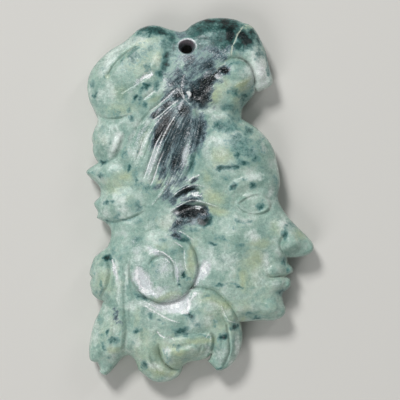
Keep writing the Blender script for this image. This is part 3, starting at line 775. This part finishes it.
        (-20.1, 26.8, 0.4, 1.0, 0, 1.1), (-9.6, 21.9, 1.3, 0.6, 40, 1.1), (2.9, 22.9, 2.6, 1.3, 35, 1.6),
        (5.2, 24.6, 1.4, 1.4, 0, 1.1), (8.9, 25.4, 1.7, 0.6, 30, 1.9), (8.8, 24.3, 1.6, 0.4, 25, 1.5),
        (8.4, 22.4, 2.0, 2.0, 0, 1.1), (10.6, 37.6, 1.2, 0.7, -10, 1.7), (9.6, 37.0, 1.0, 0.7, 30, 1.2),
        (4.5, 9.4, 2.0, 1.7, 0, 1.3), (3.0, 0.9, 2.6, 1.4, -20, 1.3), (2.8, -2.0, 3.2, 1.0, -15, 1.3),
        (1.4, 5.0, 1.0, 2.0, 0, 1.1), (-18.4, 3.2, 2.2, 1.8, 0, 0.9), (-16.4, 5.2, 1.6, 1.2, 0, 1.1),
        (-21.0, 12.6, 1.6, 1.4, 0, 0.7), (-15.6, 0.0, 2.0, 1.2, 0, 0.6), (-7.0, -4.6, 1.8, 1.4, 0, 0.8),
        (-1.9, -12.6, 0.9, 3.6, -5, 1.2), (-8.6, -9.8, 1.8, 0.8, 0, 0.8), (-7.0, -21.0, 3.4, 0.7, 4, 1.1),
        (11.4, -13.4, 2.2, 2.0, 30, 1.2), (9.6, -17.2, 0.9, 2.4, 5, 1.4), (13.2, -9.4, 2.6, 1.0, 0, 1.0),
        (16.6, -6.0, 1.4, 1.6, 0, 0.9), (5.0, -22.6, 2.6, 1.3, -20, 1.3), (1.8, -21.4, 2.2, 1.0, 0, 1.0),
        (4.4, -24.2, 1.0, 2.0, 15, 1.0), (-4.8, -32.8, 2.0, 0.9, -12, 1.6), (-0.6, -30.4, 3.0, 0.8, 4, 1.4),
        (-9.0, -37.4, 2.4, 1.2, -20, 1.3), (-6.0, -38.2, 1.6, 0.9, 20, 1.2), (-18.7, -32.3, 1.5, 0.9, 0, 1.3),
        (-21.4, -17.6, 1.0, 2.6, 0, 0.9), (-12.4, -30.4, 1.6, 2.6, 0, 1.0), (-13.6, -25.6, 1.0, 2.0, 0, 0.9),
        (21.6, -7.6, 1.6, 1.0, 0, 1.1), (-8.9, 4.0, 0.5, 0.9, -30, 1.7), (10.0, -22.6, 2.0, 1.4, 0, 1.0),
        (-12.4, 13.0, 0.4, 2.6, -20, 1.0), (9.2, -26.2, 0.9, 0.6, -40, 1.3),
    ],
    "white": [                           # milky clouds
        (-19.6, 31.1, 0.9, 2.6, -45, 1.4), (-17.2, 33.1, 2.2, 0.7, 35, 1.25), (-13.0, 35.1, 2.4, 0.8, 15, 1.4),
        (-21.0, 28.6, 0.8, 2.0, -25, 1.3), (-11.9, 36.2, 0.7, 1.0, 0, 1.2), (-21.6, 22.6, 1.6, 1.4, 0, 0.9),
        (-19.6, 23.6, 1.4, 1.8, 0, 0.9), (-9.4, 30.4, 0.9, 1.2, -20, 1.0), (-10.9, 23.4, 1.2, 0.8, 30, 1.1),
        (12.9, 28.2, 1.8, 2.8, 14, 3.0), (11.6, 32.2, 1.4, 1.8, 20, 1.5), (13.4, 25.8, 1.8, 1.2, 14, 2.3),
        (9.6, 30.2, 1.4, 0.5, -30, 1.2), (9.6, 27.0, 1.2, 0.8, 0, 0.8), (7.7, 13.9, 1.3, 0.9, 20, 1.6),
        (3.6, 12.6, 2.4, 1.3, 0, 1.1), (1.4, 10.4, 1.2, 1.4, 0, 1.0), (13.6, 11.2, 1.0, 1.0, 0, 1.1),
        (4.6, 9.8, 1.4, 1.0, 0, 1.1), (11.6, 10.6, 0.8, 0.7, 0, 1.1), (3.6, 17.8, 2.2, 0.9, 20, 1.2),
        (1.6, 19.6, 2.2, 0.8, 20, 1.1), (-18.2, 12.0, 0.9, 2.2, -28, 1.7), (-19.4, 15.8, 1.6, 0.8, 0, 1.0),
        (-17.4, 14.2, 0.9, 0.7, 0, 1.3), (-20.4, 13.0, 1.7, 1.7, 0, 0.95), (-13.6, 10.6, 0.4, 2.6, -22, 1.2),
        (-12.2, 12.4, 0.45, 3.0, -22, 1.6), (-14.8, 13.4, 0.5, 2.0, -22, 1.1), (-11.6, 16.6, 0.9, 0.9, 0, 1.0),
        (-13.8, 16.6, 1.0, 0.7, 30, 1.0), (12.2, 4.8, 1.5, 0.8, 20, 1.2), (15.2, 1.6, 0.7, 1.9, -15, 1.0),
        (21.2, -1.2, 1.0, 0.4, 0, 1.6), (18.0, -5.4, 1.0, 1.1, 0, 1.6), (11.2, -7.8, 2.0, 1.0, 0, 1.0),
        (5.6, -12.6, 2.4, 1.2, 0, 1.0), (14.2, -13.4, 0.9, 2.2, 5, 1.3), (13.2, -17.4, 1.4, 1.8, 0, 1.0),
        (-12.4, -17.2, 1.1, 2.4, 32, 2.3), (-8.0, -14.6, 2.0, 1.8, 0, 1.1), (-10.0, -11.3, 2.2, 0.7, -5, 1.1),
        (-9.4, -19.6, 2.0, 0.8, -15, 1.4), (-5.6, -23.0, 4.4, 1.2, 12, 1.9), (0.7, -15.2, 0.8, 1.7, -25, 2.1),
        (-13.2, -13.0, 1.0, 2.6, 0, 1.0), (-11.6, -22.6, 2.2, 0.6, -25, 1.3), (-15.6, -16.6, 0.5, 2.4, 0, 1.1),
        (-18.3, -15.6, 0.6, 2.8, 8, 1.8), (-14.6, -22.6, 1.4, 1.0, -30, 1.2), (-17.6, -20.6, 0.5, 2.6, 0, 0.9),
        (-18.0, -28.2, 0.8, 1.2, 0, 0.95), (-10.0, -36.0, 1.6, 0.9, -25, 1.2), (-6.0, 5.0, 0.7, 1.6, -25, 1.5),
        (-22.6, -29.0, 0.9, 3.0, -10, 1.0), (-7.0, -33.0, 0.8, 0.6, 0, 1.7), (-6.4, -34.6, 1.2, 0.8, 0, 1.1),
        (-20.4, -24.8, 0.8, 1.8, 15, 0.9), (7.9, -31.8, 0.6, 2.2, 0, 1.4), (4.0, -33.8, 0.9, 1.6, 0, 1.1),
        (7.2, -35.0, 0.6, 1.2, -40, 1.1), (1.3, -32.4, 0.5, 1.4, 15, 1.1), (-17.2, -0.5, 1.5, 1.0, 0, 1.3),
        (-16.4, -2.2, 1.4, 0.9, 0, 1.3), (-20.4, -2.8, 1.4, 0.8, 0, 1.0), (-18.6, 1.2, 0.8, 0.6, 0, 1.0),
        (16.4, -18.0, 1.2, 0.8, 0, 1.0), (-2.2, 23.0, 0.3, 0.8, 10, 1.8), (-7.2, -4.4, 1.7, 1.0, 0, 1.3),
        (-10.6, -5.4, 1.2, 1.2, 0, 0.9), (4.8, -24.6, 1.2, 0.8, 0, 0.9), (-1.4, -21.4, 0.5, 1.0, -35, 1.3),
        (2.4, -22.8, 1.4, 0.8, -20, 1.0), (1.6, -25.8, 1.4, 1.0, 0, 1.0), (-15.8, -18.4, 0.4, 3.0, 0, 0.9),
        (15.4, 26.0, 0.5, 1.4, 12, 1.0), (5.0, -13.8, 1.8, 1.2, 0, 0.9), (2.6, -12.4, 1.0, 2.0, 0, 0.9),
    ],
    "chalk": [                           # small facets that the wheel left brilliant
        (-2.2, 23.0, 0.18, 0.75, 10, 2.2), (-0.9, 1.6, 0.8, 0.18, 4, 2.0), (-0.5, -1.4, 0.6, 0.15, -8, 1.8),
        (-5.0, -2.4, 0.35, 0.3, 0, 1.7), (-11.7, 26.6, 1.2, 0.4, 38, 1.6), (-11.9, -19.3, 0.8, 0.25, -15, 1.6),
        (-13.3, -16.6, 0.3, 1.5, 12, 1.8), (-18.9, -14.2, 0.3, 1.1, 14, 1.5), (-3.2, -24.2, 0.7, 0.5, 30, 1.7),
        (-2.4, -22.6, 0.3, 1.2, -8, 1.6), (0.8, -14.8, 0.35, 1.1, -22, 1.7), (-1.2, -20.4, 0.5, 0.4, 0, 1.3),
        (3.9, 26.6, 0.3, 0.2, 0, 1.8), (13.1, 28.4, 0.9, 1.9, 14, 0.95), (-5.6, -22.8, 2.6, 0.6, 12, 0.95),
    ],
}
crack = {
    "line": [(11.3, 38.2), (9.6, 37.9), (8.6, 36.7), (8.0, 35.7), (7.6, 34.4), (7.1, 33.3), (6.8, 32.0),
             (6.8, 31.0), (5.6, 30.1), (5.1, 29.3), (3.9, 28.3), (2.7, 26.9), (1.3, 25.8), (-0.4, 24.6)],
    "jagSize": 0.7, "jagReach": 0.25,           # millimetres
    "open": 8.0, "closing": 0.012,              # it is open this far along, then closes this much a millimetre
}
wander = {
    "seed": 2,                                  # the same on every run
    "sway": ((5.0, 0.6), (1.8, 0.5), (0.7, 0.3)),       # size and reach of the bends in a patch's edge
}


def paintAttributes(carved):
    # the strength of each colour at every vertex, with the patches' edges wandering as a stone's do
    mesh = carved.data
    place = np.zeros(len(mesh.vertices) * 3)
    mesh.vertices.foreach_get("co", place)
    place = place.reshape(-1, 3) / mm
    plan = place[:, :2].copy()
    noise.seed_set(wander["seed"])
    for size, sway in wander["sway"]:
        shift = [noise.noise_vector(Vector(p) / size) for p in place]
        plan += sway * np.array([(v.x, v.y) for v in shift])
    offset = (place[:, :2] - np.array(hole["centre"])) / np.array([hole["across"], 1])
    fromHole = np.linalg.norm(offset, axis=1)
    worn = 1 - hole["wornMore"] + hole["wornMore"] * (offset @ hole["wornSide"]) / np.maximum(fromHole, 0.1)
    front = place[:, 2] > stone["edgeFront"]
    lip = front * worn * np.exp(-(((fromHole - hole["rim"]) / hole["rimWidth"]) ** 2))
    layer = mesh.attributes.new("bore", "FLOAT", "POINT")
    shade = 1 - hole["boreShade"] + hole["boreShade"] * np.clip(offset[:, 1], -1, 1)
    within = np.clip((hole["rim"] - fromHole) / hole["boreEdge"], 0, 1) * shade
    layer.data.foreach_set("value", within.astype(np.float32))
    for name, patches in colourPatches.items():
        strength = hole["rimPaint"].get(name, 0) * lip
        for x, y, wide, tall, turn, full in patches:
            c, s = math.cos(math.radians(turn)), math.sin(math.radians(turn))
            u = ((plan[:, 0] - x) * c + (plan[:, 1] - y) * s) / wide
            v = ((plan[:, 1] - y) * c - (plan[:, 0] - x) * s) / tall
            strength = np.maximum(strength, full * np.exp(-0.5 * (u**2 + v**2)))
        if name in mesh.attributes:      # the cuts have left some already
            carvedShare = np.zeros(len(plan))
            mesh.attributes[name].data.foreach_get("value", carvedShare)
            strength = np.maximum(strength, carvedShare)
        else:
            mesh.attributes.new(name, "FLOAT", "POINT")
        mesh.attributes[name].data.foreach_set("value", strength.astype(np.float32))
    jags = [noise.noise_vector(Vector(p) / crack["jagSize"]) for p in place]
    line = place[:, :2] + crack["jagReach"] * np.array([(v.x, v.y) for v in jags])
    distance, side, along = toPath(line, smoothRun(crack["line"]))
    layer = mesh.attributes.new("crackGap", "FLOAT", "POINT")
    gap = distance + crack["closing"] * np.maximum(along - crack["open"], 0)
    layer.data.foreach_set("value", gap.astype(np.float32))
    combHair(mesh, place[:, :2])


def combHair(mesh, plan):
    # lays millimetres across and along the hair on every vertex, so that the streaks flow with the strands
    paths = [smoothRun(guide) for guide in hairGuides]
    gaps, alongs = [], []
    for path in paths:
        distance, side, along = toPath(plan, path)
        gaps.append(distance * np.sign(side))
        alongs.append(along)
    across, flow = np.minimum(gaps[0], 0), alongs[0].copy()
    for number, (before, after) in enumerate(zip(gaps, gaps[1:])):
        share = np.clip(before / np.maximum(before - after, 0.01), 0, 1)
        held = (before > 0) & (after <= 0)
        across[held] = hair["pitch"] * (number + share[held])
        flow[held] = ((1 - share) * alongs[number] + share * alongs[number + 1])[held]
    beyond = gaps[-1] > 0
    across[beyond] = (hair["pitch"] * (len(gaps) - 1) + gaps[-1])[beyond]
    flow[beyond] = alongs[-1][beyond]
    fan = np.vstack([paths[0], paths[-1][::-1]])
    rim = toPath(plan, fan, closed=True)[0]
    within = np.clip(0.5 + rim * np.where(inside(plan, fan), 1, -1) / hair["blend"], 0, 1)
    layer = mesh.attributes.new("combed", "FLOAT", "POINT")
    layer.data.foreach_set("value", within.astype(np.float32))
    layer = mesh.attributes.new("comb", "FLOAT_VECTOR", "POINT")
    comb = np.column_stack([across, flow, np.zeros(len(plan))])
    layer.data.foreach_set("vector", comb.astype(np.float32).ravel())


# Polished jadeite: a hard stone ground and rubbed by hand, so its gloss is soft and even, it is cloudy in
# depth, and light comes up a little from within. Its crystals are about 0.05 to 0.2 mm across, too fine to
# show, so the grain and the flecks are drawn coarser than that.
jadeFinish = {
    # ground tones, from shaded green to milk
    "ground": [(0.12, "#84A498", 1), (0.38, "#9AB7AA", 1), (0.6, "#AFC7BA", 1), (0.85, "#CDDCD3", 1)],
    # clouds of blue-green, from a breath of colour to nearly black
    "teal": [(0.0, "#86ABA1", 0), (0.3, "#699390", 0.75), (0.6, "#30625F", 0.95), (1.0, "#061E1E", 1)],
    # the dark vein, from purple-grey to blue-black
    "vein": [(0.0, "#87999E", 0), (0.3, "#627782", 0.85), (0.6, "#33474E", 0.97), (1.0, "#0B181B", 1)],
    "aqua": "#9CBFBB", "straw": "#BCC9A4", "milk": "#E4EEE8", "frost": "#D3D8DC", "crack": "#CBD5C2",
    "chalk": "#F9FBFB", "grime": "#3A453C", "bore": "#84707A",
    "stirSize": 4.5, "stirReach": 2.4,                                              # millimetres
    # millimetres
    "tintSize": 8.16, "cloudSize": 3.4, "mottleSize": 2.0, "fleckSize": 0.7, "grainSize": 0.26,
    "noiseRange": (0.34, 0.66),             # most of a noise lies between these two, which become 0 and 1
    "mottleShare": 0.35,                    # how much of the mottling is mixed into the clouds
    "tones": (("fleck", 0.86, 1.1), ("grain", 0.86, 1.1)),      # how far they darken and lighten the colour
    "streakSize": 0.5, "streakLength": 4.0, "streakTurn": -52,                      # length in widths, degrees
    "strandSize": 0.42, "strandLength": 9.0,
    "sugar": 0.27, "sugarRange": (0.72, 0.95),          # how much the crystals in the dark vein show
    # roughness of the polish, how it changes over the flecks, and what a deep cut adds
    "polish": 0.15, "polishWander": 0.08, "unpolished": 0.3,
    "pitDepth": 0.08, "pitStrength": 0.32,              # millimetres, and how strongly the pits bend the light
    "fleckPits": 0.8, "combPits": 1.6,                  # flecks and combed hair against the pits of the grain
    "refraction": 1.62, "sheen": 0.3,                   # jadeite's is 1.66, and the wax in its pores has less
    "glow": 0.25, "glowDepth": 0.6, "glowReach": (0.8, 1.0, 0.85),      # light that spreads in it, millimetres
}


def addNode(tree, kind, settings=None, sockets=None, stops=None):
    node = tree.nodes.new("ShaderNode" + kind)
    for name, value in (settings or {}).items():
        setattr(node, name, value)
    for name, value in (sockets or {}).items():
        if isinstance(value, bpy.types.NodeSocket):
            tree.links.new(value, node.inputs[name])
        else:
            node.inputs[name].default_value = value
    for number, (position, hexText, cover) in enumerate(stops or []):
        marks = node.color_ramp.elements
        mark = marks[number] if number < 2 else marks.new(position)
        mark.position, mark.color = position, (*linearColour(hexText)[:3], cover)
    return node


def makeJade():
    look = jadeFinish
    material = bpy.data.materials.new("polishedJade")
    material.use_nodes = True
    tree = material.node_tree
    tree.nodes.clear()
    place = addNode(tree, "TexCoord").outputs["Object"]
    painted = {name: addNode(tree, "Attribute", {"attribute_name": name}).outputs["Fac"]
               for name in (*colourPatches, "crackGap", "sunk", "bore", "combed")}

    # the clouds are stirred, so they swirl instead of lying in round spots
    stir = addNode(tree, "TexNoise",
                   sockets={"Vector": place, "Scale": 1 / (look["stirSize"] * mm), "Detail": 3})
    stirred = addNode(tree, "VectorMath", {"operation": "MULTIPLY_ADD"},
                      {0: stir.outputs["Color"], 1: [look["stirReach"] * mm] * 3, 2: place}).outputs[0]
    along = addNode(tree, "Mapping", {"vector_type": "TEXTURE"},
                    {"Vector": place, "Rotation": (0, 0, math.radians(look["streakTurn"])),
                     "Scale": (1, look["streakLength"], 1)}).outputs["Vector"]
    comb = addNode(tree, "Attribute", {"attribute_name": "comb"}).outputs["Vector"]
    flow = addNode(tree, "VectorMath", {"operation": "MULTIPLY"},
                   {0: comb, 1: (mm, mm / look["strandLength"], mm)}).outputs[0]
    noises = {}
    for name, vector, size, detail, rough in (
            ("cloud", stirred, look["cloudSize"], 7, 0.6), ("mottle", stirred, look["mottleSize"], 7, 0.7),
            ("tint", stirred, look["tintSize"], 3, 0.5), ("fleck", place, look["fleckSize"], 4, 0.65),
            ("grain", place, look["grainSize"], 2, 0.6), ("streak", along, look["streakSize"], 4, 0.6),
            ("strand", flow, look["strandSize"], 3, 0.6)):
        made = addNode(tree, "TexNoise", sockets={"Vector": vector, "Scale": 1 / (size * mm), "Detail": detail,
                                                  "Roughness": rough})
        low, high = look["noiseRange"]
        ranged = addNode(tree, "MapRange",
                         sockets={"Value": made.outputs["Fac"], "From Min": low, "From Max": high})
        noises[name] = ranged.outputs["Result"]
    noises["streak"] = addNode(tree, "Mix", sockets={0: painted["combed"], 2: noises["streak"],
                                                     3: noises["strand"]}).outputs[0]

    # a field is what is painted plus shares of two noises, brought to 0 to 1 between low and high
    fields = {}
    for name, patch, coarse, coarseShare, fine, fineShare, low, high in (
            ("teal", "teal", "mottle", 1.1, "fleck", 0.6, 1.4, 3.2),
            ("vein", "vein", "mottle", 0.6, "streak", 0.6, 1.05, 2.4),
            ("straw", "warm", "tint", 0.4, "mottle", 0.5, 0.8, 1.9),
            ("milk", "white", "mottle", 0.6, "fleck", 0.4, 0.9, 2.1),
            ("frost", "frost", "grain", 0.7, "streak", 0.4, 1.1, 1.8),
            ("chalk", "chalk", "grain", 0.55, "fleck", 0.3, 0.95, 1.6),
            ("bore", "bore", "grain", 0.3, "fleck", 0.3, 0.6, 1.2),
            ("grime", "sunk", "mottle", 0.3, "fleck", 0.25, 0.7, 1.5),
            ("crack", "crackGap", "fleck", 0.12, "grain", 0.06, 0.28, 0.13)):
        total = painted[patch]
        for kind, share in ((coarse, coarseShare), (fine, fineShare)):
            total = addNode(tree, "Math", {"operation": "MULTIPLY_ADD"},
                            {0: noises[kind], 1: share, 2: total}).outputs[0]
        ranged = addNode(tree, "MapRange", sockets={"Value": total, "From Min": low, "From Max": high})
        fields[name] = ranged.outputs["Result"]

    clouds = addNode(tree, "Mix", sockets={0: look["mottleShare"], 2: noises["cloud"], 3: noises["mottle"]})
    ground = addNode(tree, "ValToRGB", sockets={"Fac": clouds.outputs[0]}, stops=look["ground"])
    colour = ground.outputs["Color"]
    tealRamp = addNode(tree, "ValToRGB", sockets={"Fac": fields["teal"]}, stops=look["teal"])
    veinRamp = addNode(tree, "ValToRGB", sockets={"Fac": fields["vein"]}, stops=look["vein"])
    layers = [(noises["tint"], 0.25, linearColour(look["aqua"])),
              (fields["straw"], 0.8, linearColour(look["straw"])),
              (fields["milk"], 0.9, linearColour(look["milk"])),
              (tealRamp.outputs["Alpha"], 1.0, tealRamp.outputs["Color"]),
              (veinRamp.outputs["Alpha"], 1.0, veinRamp.outputs["Color"]),
              (fields["bore"], 0.9, linearColour(look["bore"])),
              (fields["frost"], 0.8, linearColour(look["frost"])),
              (fields["crack"], 0.9, linearColour(look["crack"])),
              (fields["grime"], 0.6, linearColour(look["grime"])),
              (fields["chalk"], 0.92, linearColour(look["chalk"]))]
    for cover, most, above in layers:
        share = addNode(tree, "Math", {"operation": "MULTIPLY"}, {0: cover, 1: most}).outputs[0]
        colour = addNode(tree, "Mix", {"data_type": "RGBA"}, {0: share, 6: colour, 7: above}).outputs[2]
    # the dark vein is sugary: single crystals in it catch the light
    low, high = look["sugarRange"]
    sugar = addNode(tree, "MapRange",
                    sockets={"Value": noises["grain"], "From Min": low, "From Max": high})
    share = addNode(tree, "Math", {"operation": "MULTIPLY"},
                    {0: veinRamp.outputs["Alpha"], 1: sugar.outputs["Result"]})
    share = addNode(tree, "Math", {"operation": "MULTIPLY"}, {0: share.outputs[0], 1: look["sugar"]}).outputs[0]
    colour = addNode(tree, "Mix", {"data_type": "RGBA"},
                     {0: share, 6: colour, 7: linearColour(look["frost"])}).outputs[2]
    # fine crystals vary the tone of every patch
    for kind, dark, light in look["tones"]:
        tone = addNode(tree, "MapRange", sockets={"Value": noises[kind], "To Min": dark, "To Max": light})
        colour = addNode(tree, "VectorMath", {"operation": "SCALE"},
                         {0: colour, "Scale": tone.outputs["Result"]}).outputs[0]

    # the polish doesn't reach the bottoms of the cuts, which stay finely pitted
    worn = addNode(tree, "Math", {"operation": "MULTIPLY_ADD", "use_clamp": True},
                   {0: painted["sunk"], 1: look["unpolished"], 2: look["polish"]}).outputs[0]
    roughness = addNode(tree, "Math", {"operation": "MULTIPLY_ADD"},
                        {0: noises["fleck"], 1: look["polishWander"], 2: worn}).outputs[0]
    pits = addNode(tree, "Math", {"operation": "MULTIPLY_ADD"},
                   {0: noises["fleck"], 1: look["fleckPits"], 2: noises["grain"]}).outputs[0]
    combedRidges = addNode(tree, "Math", {"operation": "MULTIPLY"},
                           {0: painted["combed"], 1: noises["strand"]}).outputs[0]
    raised = addNode(tree, "Math", {"operation": "MULTIPLY_ADD"},
                     {0: combedRidges, 1: look["combPits"], 2: pits}).outputs[0]
    bump = addNode(tree, "Bump", sockets={"Height": raised, "Strength": look["pitStrength"],
                                          "Distance": look["pitDepth"] * mm})

    shader = addNode(tree, "BsdfPrincipled", sockets={
        "Base Color": colour, "Roughness": roughness, "Normal": bump.outputs["Normal"],
        "IOR": look["refraction"], "Specular IOR Level": look["sheen"], "Subsurface Weight": look["glow"],
        "Subsurface Radius": look["glowReach"], "Subsurface Scale": look["glowDepth"] * mm,
    })
    output = addNode(tree, "OutputMaterial")
    tree.links.new(shader.outputs["BSDF"], output.inputs["Surface"])
    return material


pendant = buildStone()
print("stone carved:", len(pendant.data.vertices), "points")
drillHole(pendant)
selectOnly(pendant)
bpy.ops.object.shade_smooth_by_angle(angle=math.radians(stone["smoothAngle"]))
print("hole drilled:", len(pendant.data.polygons), "faces")
paintAttributes(pendant)
pendant.data.materials.clear()
pendant.data.materials.append(makeJade())
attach(pendant, "root")
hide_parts("jade_pendant")
print("jade polished")


# Floor, light and camera.
studio = {
    "floorColour": "#D9D7D2", "floorRoughness": 0.9, "floorSize": 4.0,
    "worldColour": "#EEF1F3", "worldLight": 0.2,
    # place and size in metres, watts
    "lights": [((-0.36, 0.66, 0.90), (0.26, 0.26), 8.6),      # main box, beyond the top left
               ((0.55, 0.60, 0.60), (0.08, 0.40), 0.9),       # strip at the top right
               ((-0.40, -0.60, 0.80), (0.60, 0.60), 3.3)],    # wide fill from the lower left
    "lens": 150.0, "frameWidth": 0.088, "middleHeight": 0.004, "nearest": 0.01, "furthest": 20,
}


def buildStudio():
    bpy.ops.object.select_all(action="DESELECT")
    bpy.ops.mesh.primitive_plane_add(size=studio["floorSize"])
    floor = bpy.context.object
    floor.name = "floor"
    paper = bpy.data.materials.new("pale_paper")
    paper.use_nodes = True
    shader = paper.node_tree.nodes["Principled BSDF"]
    shader.inputs["Base Color"].default_value = linearColour(studio["floorColour"])
    shader.inputs["Roughness"].default_value = studio["floorRoughness"]
    floor.data.materials.append(paper)
    for number, (place, size, watts) in enumerate(studio["lights"]):
        bpy.ops.object.light_add(type="AREA", location=place)
        lamp = bpy.context.object
        lamp.name = "softbox" + str(number)
        lamp.data.shape = "RECTANGLE"
        lamp.data.size, lamp.data.size_y = size
        lamp.data.energy = watts
        lamp.rotation_euler = (-Vector(place)).to_track_quat("-Z", "Y").to_euler()
    world = bpy.data.worlds.new("room")
    bpy.context.scene.world = world
    world.use_nodes = True
    background = world.node_tree.nodes["Background"]
    background.inputs["Color"].default_value = linearColour(studio["worldColour"])
    background.inputs["Strength"].default_value = studio["worldLight"]
    bpy.ops.object.camera_add()
    camera = bpy.context.object
    camera.data.lens = studio["lens"]
    away = studio["frameWidth"] * studio["lens"] / camera.data.sensor_width
    camera.location = (0, 0, studio["middleHeight"] + away)      # it looks straight down
    camera.data.clip_start, camera.data.clip_end = studio["nearest"], studio["furthest"]
    bpy.context.scene.camera = camera
    bpy.context.scene.view_settings.view_transform = "Standard"


buildStudio()
print("studio set")
